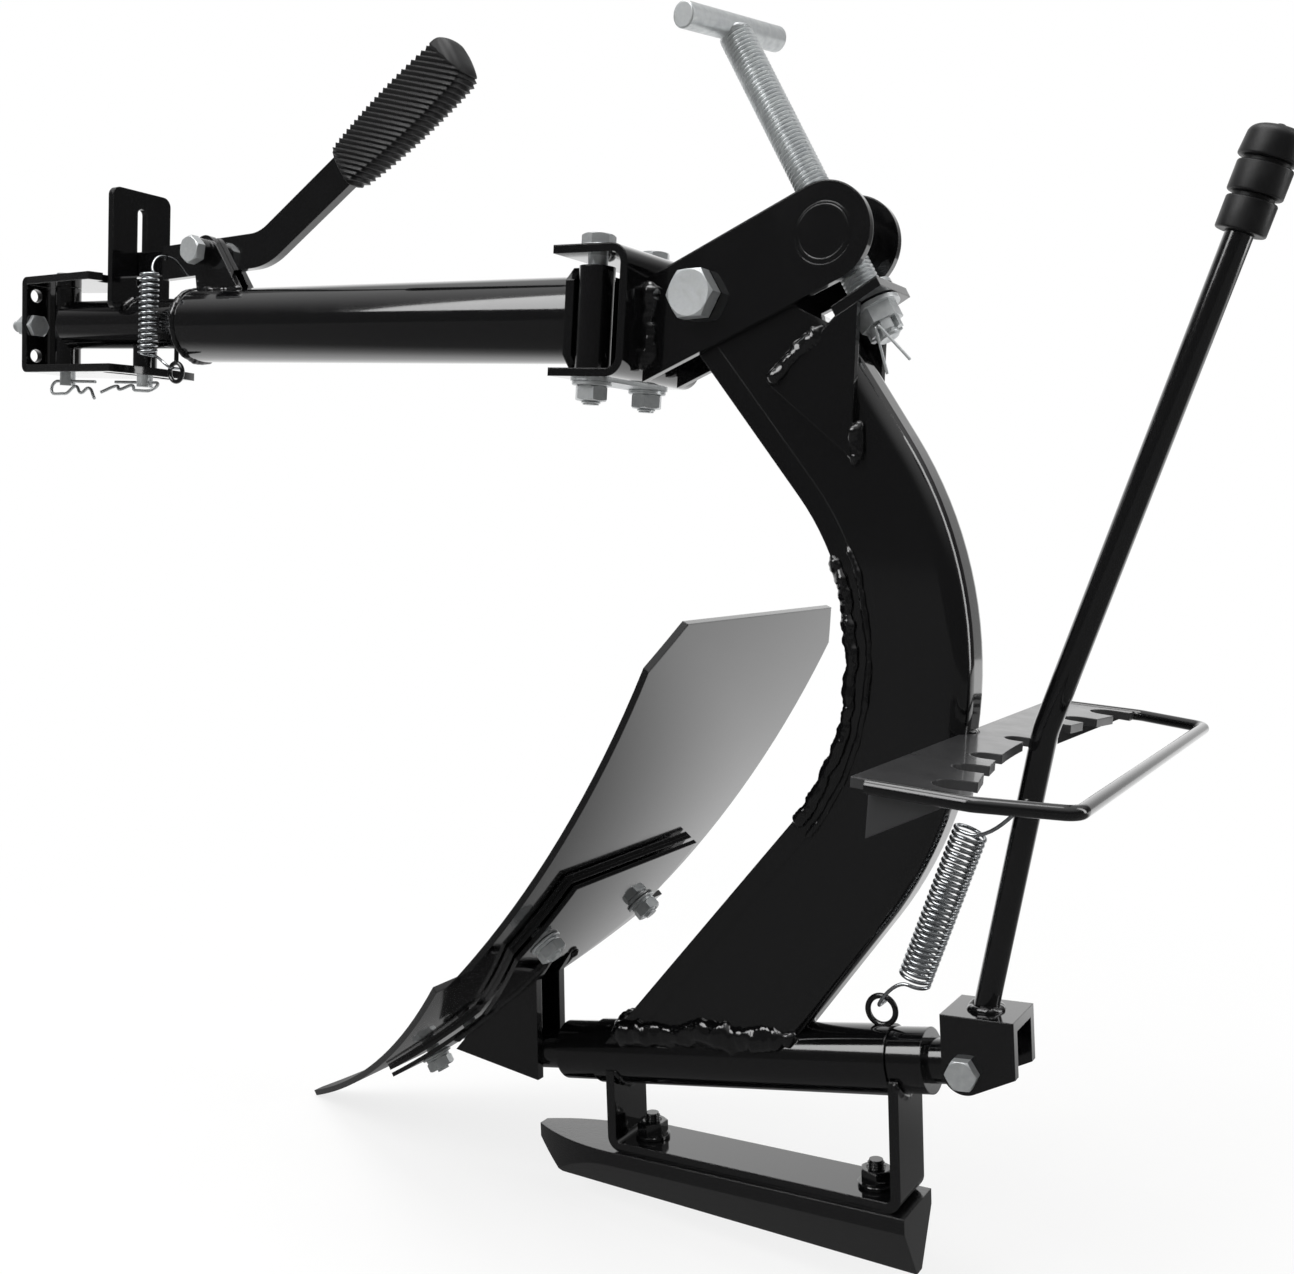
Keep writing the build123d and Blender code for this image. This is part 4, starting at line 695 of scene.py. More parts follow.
@dataclass
class Fasteners:
    """Hexagon heads, nuts, washers, shanks and threaded ends, each stood on a seat."""

    sides: int = 72
    round_sides: int = 48
    thread_sides: int = 40
    inscribed: float = 0.97
    chamfer: float = math.radians(30)
    bore_lip: float = 0.9
    dish_share: float = 0.55
    dish_depth: float = 0.15
    washer_edge: float = 0.4
    crest_gap: float = 0.02
    thread_depth: float = 0.61
    crest_span: tuple[float, float] = (0.44, 0.56)
    tip: float = 0.5
    tip_share: float = 0.3

    def stand(self, shape: Shape, seat: Seat) -> Shape:
        """Place a mesh that stands on Z = 0.

        Args:
            shape: Points and faces.
            seat: Where it goes.

        Returns:
            Placed points and the same faces.
        """
        points, faces = shape
        turned = Matrix.Rotation(math.radians(seat.spin), 3, "Z")
        return placed([turned @ p for p in points], seat.place, seat.axis, seat.facing), faces

    def _hexagon(self, size: HexSize, head: bool) -> Shape:
        """A chamfered hexagon that stands on Z = 0.

        Args:
            size: Sizes of the fastener.
            head: Whether it has a head's plain foot and dished top, or a nut's chamfers and bore.

        Returns:
            Points and faces.
        """
        flat, hole = size.flats / 2, size.thread / 2
        round_r = flat * self.inscribed
        slope = math.tan(self.chamfer)
        # Each ring's reach, or None on the hexagon's wall, its level and its share of the chamfer.
        rings: list[tuple[Optional[float], float, float]] = [
            (hole, 0.0, 0.0),
            (round_r, 0.0, 0.0),
            (None, 0.0, 0.0 if head else 1.0),
            (None, size.height, -1.0),
            (round_r, size.height, 0.0),
        ]
        if head:
            rings.append((round_r * self.dish_share, size.height - self.dish_depth, 0.0))
        else:
            rings.append((hole + self.bore_lip, size.height, 0.0))
            rings.append((hole, size.height - self.bore_lip, 0.0))
        rows = []
        for reach, level, share in rings:
            row = []
            for i in range(self.sides):
                turn = 2 * math.pi * i / self.sides
                wall = flat / math.cos((turn + math.pi / 6) % (math.pi / 3) - math.pi / 6)
                out = wall if reach is None else reach
                height = level + share * (wall - round_r) * slope
                row.append(Vector((out * math.cos(turn), out * math.sin(turn), height)))
            rows.append(row)
        return skin(rows)

    def head(self, size: HexSize, seat: Seat) -> Shape:
        """A bolt's head on a seat."""
        return self.stand(self._hexagon(size, True), seat)

    def nut(self, size: HexSize, seat: Seat) -> Shape:
        """A nut on a seat."""
        return self.stand(self._hexagon(size, False), seat)

    def shank(self, size: HexSize, length: float, seat: Seat, sides: int = 40) -> Shape:
        """A plain shank, as thick as the thread, on a seat."""
        return self.stand(lathe(((size.thread / 2, 0.0), (size.thread / 2, length)), sides), seat)

    def washer(self, size: Washer, seat: Seat) -> Shape:
        """A flat washer with broken edges.

        Args:
            size: Sizes of the washer.
            seat: Where it lies.

        Returns:
            Points and faces.
        """
        soft = min(self.washer_edge, size.thick / 3)
        profile = (
            (size.inside, 0.0),
            (size.outside - soft, 0.0),
            (size.outside, soft),
            (size.outside, size.thick - soft),
            (size.outside - soft, size.thick),
            (size.inside, size.thick),
        )
        return self.stand(lathe(profile, self.round_sides), seat)

    def threaded_end(self, size: HexSize, length: float, seat: Seat) -> Shape:
        """A thread's end, drawn as close rings with a plain tip.

        Args:
            size: Sizes of the fastener.
            length: Length that shows.
            seat: Where it starts.

        Returns:
            Points and faces.
        """
        crest = size.thread / 2 - self.crest_gap
        root = size.thread / 2 - self.thread_depth * size.pitch
        profile: list[tuple[float, float]] = [(root, 0.0)]
        level = 0.0
        while level + size.pitch < length - self.tip:
            profile += [(crest, level + size.pitch * share) for share in self.crest_span]
            level += size.pitch
            profile.append((root, level))
        profile += [(root, length), (self.tip_share * root, length)]
        return self.stand(lathe(profile, self.thread_sides), seat)


@dataclass(frozen=True)
class Bead:
    """One weld bead: its middle line, half its width, and how far it spreads in a direction."""

    path: Sequence[Vector]
    radius: float
    closed: bool = False
    spread: Vector = Vector((0, 0, 0))


@dataclass
class WeldBead:
    """Weld beads under the enamel: lumpy tubes half sunk in the corners that they fill.

    Each unevenness has its waves for each millimetre and its size as a share of the bead's radius.
    """

    dresser: Dresser
    wander: tuple[float, float] = (0.06, 0.4)
    lumps: tuple[tuple[float, float], ...] = ((0.07, 0.34), (0.17, 0.3))
    laps: tuple[float, float] = (0.45, 0.1)
    ripple_mm: float = 3.6
    ripple: float = 0.03
    ripple_shift: float = 4.0
    end_share: float = 0.35
    end_growth: float = 0.16
    least_step: float = 0.8
    step_share: float = 0.25
    seed_step: float = 7.3
    sides: int = 16

    def shape(self, bead: Bead, seed: float) -> Shape:
        """One bead along its path.

        Args:
            bead: The bead's path and size.
            seed: Place in the noise, so that beads differ.

        Returns:
            Points and faces.
        """
        step = max(self.least_step, bead.radius * self.step_share)
        spots = evenly(bead.path, step)
        if bead.closed:
            spots = spots[:-1]
        drift = Vector((seed, 0, seed))
        waves, share = self.wander
        middle = [p + noise.noise_vector(p * waves + drift) * (share * bead.radius) for p in spots]
        radii = [bead.radius] * len(spots)
        if not bead.closed:
            from_end = [min(i, len(spots) - 1 - i) for i in range(len(spots))]
            radii = [bead.radius * min(1.0, self.end_share + self.end_growth * k) for k in from_end]
        rings = tube_rings(middle, radii, self.sides, bead.closed)
        across, extra = bead.spread.normalized(), bead.spread.length
        for i, ring in enumerate(rings):
            for k, point in enumerate(ring):
                offset = point - middle[i]
                offset += across * (offset.dot(across) * extra)
                place = middle[i] + offset + drift
                lump = sum(size * noise.noise(place * rate) for rate, size in self.lumps)
                lap = self.laps[1] * noise.noise(place * self.laps[0])
                phase = 2 * math.pi * i * step / self.ripple_mm + self.ripple_shift * lump
                lap += self.ripple * math.sin(phase)
                ring[k] = middle[i] + offset * (1 + lump + lap)
        return skin(rings, bead.closed)

    def add(self, name: str, body: Body, beads: Sequence[Bead]) -> None:
        """Make one piece of several beads.

        Args:
            name: Piece name.
            body: Body that carries the beads.
            beads: The beads.
        """
        shapes = [self.shape(bead, self.seed_step * i + len(name)) for i, bead in enumerate(beads)]
        self.dresser.add(name, join(shapes), body, Slot.ENAMEL, crease=Crease.WELD)


@dataclass
class Hitch:
    """Hitch yoke's steady bolts and nuts."""

    dresser: Dresser
    fasteners: Fasteners
    nut: HexSize = HexSize(16.0, 8.4, 10.0, 1.5)
    head: HexSize = HexSize(16.0, 4.4, 2.0)
    bolt_y: float = 15.0
    wall: float = 6.0
    tail: float = 19.0

    def build(self) -> None:
        """Make the steady nuts, and the bolts' heads and threaded ends."""
        fit = self.fasteners
        nuts, bolts = [], []
        for y, spin in ((-self.bolt_y, 12.0), (self.bolt_y, -7.0)):
            seat = Seat(Vector((0, y, 0)), FRONT)
            nuts.append(fit.nut(self.nut, seat.up(0.0, spin)))
            bolts.append(fit.threaded_end(self.nut, self.tail, seat))
            bolts.append(fit.head(self.head, Seat(Vector((self.wall, y, 0)), REAR)))
        self.dresser.add("steady_nut_hexagons", join(nuts), Body.YOKE, Slot.ZINC, ["steady_nuts"])
        self.dresser.add("steady_bolt_ends", join(bolts), Body.YOKE, Slot.ZINC, ["steady_bolts"])


@dataclass
class Drawbar:
    """Drawbar's bolts, nuts and welds."""

    dresser: Dresser
    fasteners: Fasteners
    welds: WeldBead
    lever_x: float = 197.0
    lever_z: float = 53.0
    lever_ear: float = 8.8
    lever_bracket: float = 42.0
    lever_head: HexSize = HexSize(18.0, 7.5, 3.0)
    lever_nut: HexSize = HexSize(18.0, 10.0, 12.0)
    lever_grip: float = 6.0
    lever_end: float = 4.0
    spacer: float = 8.0
    hinge_x: float = 565.0
    hinge_y: float = 32.0
    hinge_collar: Washer = Washer(10.4, 3.0, 1.4)
    hinge_head: HexSize = HexSize(18.0, 6.1, 3.0)
    hinge_washer: Washer = Washer(12.0, 6.0, 2.5)
    hinge_nut: HexSize = HexSize(18.0, 9.0, 12.0)
    hinge_end: float = 2.4
    nut_turn: float = 11.0
    bracket_half: float = 38.5
    bracket_rear: float = 595.0
    lock_plate: float = 2.0
    pivot_x: float = 629.6
    pivot_z: float = 10.5
    pitch_collar: Washer = Washer(13.0, 4.0, 0.7)
    pitch_head: HexSize = HexSize(27.0, 10.8, 4.0)
    pitch_washer: Washer = Washer(17.0, 9.0, 2.5)
    pitch_nut: HexSize = HexSize(27.0, 15.0, 18.0, 2.5)
    pitch_end: float = 4.5
    ear_out: float = 23.2
    ear_weld: tuple[float, float] = (-33.0, 19.0)
    sleeve_weld: tuple[float, float] = (-30.0, 24.0)
    tube_r: float = 27.0
    tube_front: float = 178.0
    tube_rear: float = 548.0
    neck_r: float = 19.0
    neck_rise: float = 2.0
    saddle_x: float = 116.0
    saddle_part: tuple[int, int] = (3, 18)
    ring_parts: int = 40

    def build(self) -> None:
        """Make the drawbar's bolts and welds."""
        self._lever_pivot()
        self._hinge()
        self._pitch_bolt()
        self._welds()

    def _lever_pivot(self) -> None:
        """Latch lever's pivot bolt with its head and a threaded end."""
        fit = self.fasteners
        head = Vector((self.lever_x, -self.lever_ear - self.spacer, self.lever_z))
        tail = Vector((self.lever_x, self.lever_ear + self.lever_nut.height, self.lever_z))
        length = 2 * self.lever_ear + self.spacer + self.lever_grip
        bolt = [
            fit.head(self.lever_head, Seat(head, NEAR, spin=20.0)),
            fit.shank(self.lever_nut, length, Seat(head, FAR)),
            fit.threaded_end(self.lever_nut, self.lever_end, Seat(tail, FAR)),
        ]
        stands_for = ["lever_pivot_bolt"]
        self.dresser.add("lever_pivot_hexagon", join(bolt), Body.DRAWBAR, Slot.ZINC, stands_for)

    def _hinge(self) -> None:
        """Hinge bolts with washers and nuts, and the latch lever's nut."""
        fit = self.fasteners
        bolts, nuts = [], []
        below = self.bracket_half + self.lock_plate
        past_nut = self.hinge_washer.thick + self.hinge_nut.height
        for y, spin in ((-self.hinge_y, 9.0), (self.hinge_y, 24.0)):
            top = Seat(Vector((self.hinge_x, y, self.bracket_half)), UP)
            foot = Seat(Vector((self.hinge_x, y, -below)), DOWN)
            bolts.append(fit.washer(self.hinge_collar, top))
            bolts.append(fit.head(self.hinge_head, top.up(self.hinge_collar.thick, spin, REAR)))
            bolts.append(fit.shank(self.hinge_nut, self.bracket_half + below, Seat(foot.place, UP)))
            bolts.append(fit.threaded_end(self.hinge_nut, self.hinge_end, foot.up(past_nut)))
            nuts.append(fit.washer(self.hinge_washer, foot))
            seat = foot.up(self.hinge_washer.thick, spin + self.nut_turn, REAR)
            nuts.append(fit.nut(self.hinge_nut, seat))
        lever = Vector((self.lever_x, self.lever_ear, self.lever_z))
        nuts.append(fit.nut(self.lever_nut, Seat(lever, FAR, spin=5.0)))
        self.dresser.add("hinge_bolt_hexagons", join(bolts), Body.DRAWBAR, Slot.ZINC, ["hinge_bolts"])
        self.dresser.add("drawbar_nut_hexagons", join(nuts), Body.DRAWBAR, Slot.ZINC, ["drawbar_nuts"])

    def _pitch_bolt(self) -> None:
        """Large pitch bolt through the ears, with its washer and nut."""
        fit = self.fasteners
        head = Seat(Vector((self.pivot_x, -self.ear_out, self.pivot_z)), NEAR)
        tail = Seat(Vector((self.pivot_x, self.ear_out, self.pivot_z)), FAR)
        past_nut = self.pitch_washer.thick + self.pitch_nut.height
        bolt = [
            fit.washer(self.pitch_collar, head),
            fit.head(self.pitch_head, head.up(self.pitch_collar.thick, spin=4.0)),
            fit.shank(self.pitch_nut, 2 * self.ear_out, Seat(head.place, FAR), sides=48),
            fit.threaded_end(self.pitch_nut, self.pitch_end, tail.up(past_nut)),
        ]
        self.dresser.add("pitch_bolt_hexagon", join(bolt), Body.DRAWBAR, Slot.ZINC, ["pitch_bolt"])
        nuts = [
            fit.washer(self.pitch_washer, tail),
            fit.nut(self.pitch_nut, tail.up(self.pitch_washer.thick, spin=17.0)),
        ]
        self.dresser.add("pitch_nut_hexagon", join(nuts), Body.DRAWBAR, Slot.ZINC, ["pitch_nut"])

    def _ring(self, x: float, rise: float, radius: float) -> list[Vector]:
        """Circle across the drawbar at a place along it, its middle raised."""
        return circle(Vector((x, 0.0, rise)), FAR, UP, radius, self.ring_parts)

    def _welds(self) -> None:
        """Beads round the neck, the tube's rear end, the ears, the bracket and the sleeves.

        The small offsets set each bead into its corner.
        """
        neck = self._ring(self.tube_front - 1.0, self.neck_rise, self.neck_r + 1.2)
        front = self._ring(self.tube_front + 5.0, 0.0, self.tube_r - 0.6)
        rear = self._ring(self.tube_rear - 0.8, 0.0, self.tube_r + 0.4)
        beads = [
            Bead(neck, radius=4.2, closed=True),
            Bead(front, radius=2.4, closed=True),
            Bead(rear, radius=3.4, closed=True),
        ]
        for side in (-1, 1):
            ear_y = side * self.ear_out + side * 0.4
            ear = [Vector((self.bracket_rear + 0.8, ear_y, z)) for z in self.ear_weld]
            beads.append(Bead(ear, radius=4.6, spread=REAR * 0.5))
            foot = math.sqrt(self.tube_r**2 - self.lever_ear**2)
            start = Vector((self.lever_x - 2, side * self.lever_ear, foot))
            beads.append(Bead((start, start + REAR * self.lever_bracket), radius=2.4))
            sleeve_y = side * (self.hinge_y - 5.4)
            sleeve = [Vector((self.hinge_x - 9.6, sleeve_y, z)) for z in self.sleeve_weld]
            beads.append(Bead(sleeve, radius=2.6))
        saddle = self._ring(self.saddle_x, self.neck_rise, self.neck_r + 0.3)
        beads.append(Bead(saddle[slice(*self.saddle_part)], radius=2.6))
        self.welds.add("drawbar_welds", Body.DRAWBAR, beads)


def wire_path(
    stops: Sequence[tuple[Vector, Vector]], pull: float = 1.15, steps: int = 12
) -> list[Vector]:
    """Smooth path of a bent wire through places with headings.

    Args:
        stops: Places and headings, from one end to the other.
        pull: Reach of each heading, as a share of the way to the next place.
        steps: Parts of the way between two places.

    Returns:
        Points along the wire, both ends with it.
    """
    points = [stops[0][0]]
    for (p, t), (q, u) in zip(stops, stops[1:]):
        reach = pull * (q - p).length
        for i in range(1, steps + 1):
            k = i / steps
            a, b = 2 * k**3 - 3 * k**2 + 1, k**3 - 2 * k**2 + k
            c, d = -2 * k**3 + 3 * k**2, k**3 - k**2
            points.append(p * a + t * (reach * b) + q * c + u * (reach * d))
    return points


@dataclass
class PinClip:
    """Hairpin clip on a pin: its straight leg is in the cross hole, its wavy leg hangs below."""

    name: str
    node: str
    body: Body
    hole: Vector
    side: float
    hang: float
    leg: float = 35.0
    bow_at: float = -13.0
    bow: float = 11.0
    waves: Sequence[tuple[float, float]] = ((0.0, 10.6), (12.0, 4.2), (20.5, 9.6), (28.0, 5.4))
    tip: tuple[float, float] = (39.0, 14.0)
    wire_r: float = 1.25
    sides: int = 12

    def _stop(self, along: float, out: float, run: float, rise: float) -> tuple[Vector, Vector]:
        """Place and heading in the part's frame, from those in the clip's own plane.

        Args:
            along: Distance from the hole along the straight leg.
            out: Distance from the leg.
            run: Heading's part along the leg.
            rise: Heading's part away from the leg.

        Returns:
            The place and the heading.
        """
        ahead = Vector((self.side, 0, 0))
        down = Vector((0, -math.cos(self.hang), -math.sin(self.hang)))
        return self.hole + ahead * along + down * out, (ahead * run + down * rise).normalized()

    def build(self, dresser: Dresser) -> None:
        """Make the clip's wire.

        Args:
            dresser: Adds the piece to its body.
        """
        stops = [self._stop(self.leg, 0.0, -1, 0), self._stop(self.bow_at, 0.0, -1, 0)]
        stops.append(self._stop(self.bow_at - self.bow / 2, self.bow / 2, 0, 1))
        stops.append(self._stop(self.bow_at, self.bow, 1, 0))
        stops.extend(self._stop(along, out, 1, 0) for along, out in self.waves)
        stops.append(self._stop(*self.tip, 0.8, 0.6))
        shape = wire(wire_path(stops), self.wire_r, self.sides)
        dresser.add(self.name, shape, self.body, Slot.ZINC, [self.node], Crease.WIRE)


@dataclass
class WireSpring:
    """Close-wound tension spring with a hook at each end.

    The two bodies of pull are its foot's and its top's. Where the eye is on a third body, the anchor,
    the lower hook is a piece of its own. Every piece stays fixed where it is made and rides on none of
    these bodies.
    """

    name: str
    node: str
    pull: tuple[Body, Body]
    anchor: Optional[Body]
    top: Vector
    foot: Vector
    across: Vector
    coil_r: float
    curls: int
    first_hook: Sequence[tuple[Vector, Vector]]
    last_hook: Sequence[tuple[Vector, Vector]]
    wire_r: float = 1.1
    steps: int = 28
    sides: int = 10

    def _coil(self) -> list[tuple[Vector, Vector]]:
        """Helix of the close coils.

        Returns:
            Places and headings from the top to the foot.
        """
        axis = (self.foot - self.top).normalized()
        beside = axis.cross(self.across)
        drop = (self.foot - self.top).length / self.curls
        slope = drop / (2 * math.pi * self.coil_r)
        spots = []
        for i in range(self.curls * self.steps + 1):
            turn = 2 * math.pi * i / self.steps
            spoke = self.across * math.cos(turn) + beside * math.sin(turn)
            run = beside * math.cos(turn) - self.across * math.sin(turn)
            place = self.top + axis * (drop * i / self.steps) + spoke * self.coil_r
            spots.append((place, (run + axis * slope).normalized()))
        return spots

    def build(self, dresser: Dresser, drawn: bpy.types.Material) -> None:
        """Make the spring's wire.

        Args:
            dresser: Adds the piece to its body.
            drawn: Finish of the drawn wire.
        """
        coil = self._coil()
        upper = [*wire_path([*self.first_hook, coil[0]]), *(place for place, _ in coil[1:])]
        lower = wire_path([coil[-1], *self.last_hook])
        held, pulled = self.pull
        parts = []
        if self.anchor is None:
            upper.extend(lower[1:])
            lean = (pulled, self.foot, self.top)
        else:
            lean = (pulled, self.top, self.first_hook[-1][0])
            reach = (held, self.last_hook[0][0], self.foot)
            parts.append((self.name + "_lower_hook", lower, self.anchor, [], reach))
        parts.append((self.name, upper, held, [self.node], lean))
        for name, path, body, stands_for, bend in parts:
            shape = wire(path, self.wire_r, self.sides)
            piece = dresser.add(name, shape, body, Slot.ZINC, stands_for, Crease.WIRE, bend)
            piece.data.materials[0] = drawn


@dataclass
class LatchGrip:
    """Flat, swelling rubber grip on the latch lever, with slanted shingle ribs."""

    dresser: Dresser
    origin: Vector = Vector((328.54, 0.0, 105.05))
    rise: float = math.radians(33.7)
    length: float = 121.0
    half_front: float = 15.5
    half_swell: float = 20.5
    half_rear: float = 18.0
    swell_at: float = 0.62
    half_thick: float = 12.5
    squareness: float = 1.45
    rounding: float = 7.0
    rounding_share: float = 0.98
    corner_front: float = 4.0
    corner_rear: float = 10.0
    ribs_from: float = 1.5
    ribs_to: float = 114.0
    ribs_fade: float = 2.0
    ribs_lean: float = 0.35
    rib_pitch: float = 4.7
    rib_depth: float = 2.1
    rib_slant: float = 0.9
    rib_crest: float = 0.7
    rings: int = 360
    sides: int = 128

    def _half_height(self, along: float) -> float:
        """Half height of the grip's side, a bow through its front, swell and rear.

        Args:
            along: Distance from the front end.

        Returns:
            Half the height there.
        """
        part = along / self.length
        bow = (part - self.swell_at) * (part - 1) / self.swell_at * self.half_front
        bow += part * (1 - part) / (self.swell_at * (1 - self.swell_at)) * self.half_swell
        return bow + part * (part - self.swell_at) / (1 - self.swell_at) * self.half_rear

    @staticmethod
    def _rounded(half: float, radius: float, from_end: float) -> float:
        """Half size near an end whose corner has a radius.

        Args:
            half: Half size away from the end.
            radius: Radius of the corner.
            from_end: Distance from the end.

        Returns:
            Half the size there.
        """
        if from_end >= radius:
            return half
        return half - radius + math.sqrt(max(0.0, radius**2 - (radius - from_end) ** 2))

    def _outline(self, along: float, turn: float) -> tuple[float, float]:
        """Height and offset of the grip's skin.

        Args:
            along: Distance from the front end.
            turn: Angle round the grip, nought at its upper edge.

        Returns:
            Height above the middle line and offset across.
        """
        from_rear = self.length - along
        tall = self._rounded(self._half_height(along), self.corner_front, along)
        tall = self._rounded(tall, self.corner_rear, from_rear)
        thick = self._rounded(self.half_thick, self.rounding, along)
        thick = self._rounded(thick, self.rounding, from_rear)
        soft = min(self.rounding, thick, tall) * self.rounding_share
        up, beside = math.cos(turn), math.sin(turn)
        height = max(-1.0, min(1.0, self.squareness * up)) * (tall - soft)
        offset = max(-1.0, min(1.0, self.squareness * beside)) * (thick - soft)
        relief = soft - self._rib(along, height + soft * up)
        return height + relief * up, offset + relief * beside

    def _rib(self, along: float, height: float) -> float:
        """Depth of the shingle ribs, steep on one flank and gentle on the other.

        Args:
            along: Distance from the front end.
            height: Height above the middle line.

        Returns:
            Depth below the skin.
        """
        start, end = along - self.ribs_from, self.ribs_to - self.ribs_lean * height - along
        fade = max(0.0, min(1.0, start / self.ribs_fade, end / self.ribs_fade))
        part = (along + self.rib_slant * height) / self.rib_pitch % 1.0
        crest = part / self.rib_crest if part < self.rib_crest else (1 - part) / (1 - self.rib_crest)
        return self.rib_depth * fade * (1 - crest)

    def build(self) -> None:
        """Make the grip's mesh."""
        ahead, upper = tilted(self.rise)
        rings = []
        for i in range(self.rings + 1):
            along = self.length * i / self.rings
            row = []
            for k in range(self.sides):
                height, offset = self._outline(along, 2 * math.pi * k / self.sides)
                row.append(self.origin + ahead * along + upper * height + Vector((0, offset, 0)))
            rings.append(row)
        stands_for = ["latch_lever_grip"]
        self.dresser.add(
            "ribbed_lever_grip", skin(rings), Body.LATCH, Slot.RUBBER, stands_for, Crease.MOULDED
        )


@dataclass
class DepthScrew:
    """Depth screw with a real thread, its tee bar's weld and the trunnion's end rings."""

    dresser: Dresser
    welds: WeldBead
    trunnion: Vector = Vector((706.0, 0.0, 43.0))
    lean: float = math.radians(32.0)
    crest_r: float = 10.0
    root_r: float = 8.5
    core_gap: float = 0.1
    core_from: float = 0.3
    pitch: float = 2.5
    crest_share: float = 0.14
    flank_share: float = 0.36
    rise: float = 140.0
    shoulder: float = 34.8
    spigot_r: float = 7.0
    spigot_chamfer: float = 1.2
    tail: float = 65.2
    sides: int = 40
    round_sides: int = 48
    ear_out: float = 23.2
    end_ring: Profile = ((15.6, -0.2), (15.2, 0.25), (14.4, 0.25), (14.0, -0.2))
    end_ring_sides: int = 64
    collar_r: float = 8.2
    collar_parts: int = 36
    collar_bead: float = 1.7
    collar_seed: float = 3.1

    def _thread(self) -> Shape:
        """Right-hand thread as one strip of crest, flank and root that winds along Z.

        Returns:
            Points and faces.
        """
        whole = self.rise + self.shoulder
        count = int((whole / self.pitch - 1) * self.sides)
        root_at = self.crest_share + self.flank_share
        corners = (
            (0.0, self.crest_r),
            (self.crest_share, self.crest_r),
            (root_at, self.root_r),
            (root_at + self.crest_share, self.root_r),
        )
        points, faces = [], []
        for i in range(count + self.sides + 1):
            turn = 2 * math.pi * i / self.sides
            level = self.pitch * i / self.sides
            for part, reach in corners:
                height = min(level + part * self.pitch, whole)
                points.append(Vector((reach * math.cos(turn), reach * math.sin(turn), height)))
        size = len(corners)
        for i in range(count + self.sides):
            for k in range(size - 1):
                a = i * size + k
                faces.append((a, a + size, a + size + 1, a + 1))
            if i < count:
                a, b = i * size + size - 1, (i + self.sides) * size
                faces.append((a, a + size, b + size, b))
        return points, faces

    def build(self) -> None:
        """Make the threaded screw, the tee's weld and the trunnion's rings."""
        across, up = tilted(self.lean)
        top = self.trunnion + up * self.rise
        whole, end = self.rise + self.shoulder, self.rise + self.tail
        core_r = self.root_r - self.core_gap
        profile = (
            (core_r, self.core_from),
            (core_r, whole),
            (self.spigot_r, whole),
            (self.spigot_r, end - self.spigot_chamfer),
            (self.spigot_r - self.spigot_chamfer, end),
        )
        points, faces = join((self._thread(), lathe(profile, self.round_sides)))
        screw = placed(points, top, -up), faces
        self.dresser.add(
            "threaded_depth_screw", screw, Body.SCREW, Slot.ZINC, ["depth_screw"], Crease.THREAD
        )
        rings = []
        for axis in (NEAR, FAR):
            ring, ring_faces = lathe(self.end_ring, self.end_ring_sides)
            # The ring lies on the trunnion's end, so it needs no caps.
            rings.append((placed(ring, self.trunnion + axis * self.ear_out, axis), ring_faces[:-2]))
        self.dresser.add("trunnion_end_rings", join(rings), Body.TRUNNION, Slot.ENAMEL)
        collar = circle(top, across, FAR, self.collar_r, self.collar_parts)
        bead = self.welds.shape(Bead(collar, self.collar_bead, closed=True), self.collar_seed)
        self.dresser.add("tee_weld", bead, Body.SCREW, Slot.ZINC, crease=Crease.WELD)


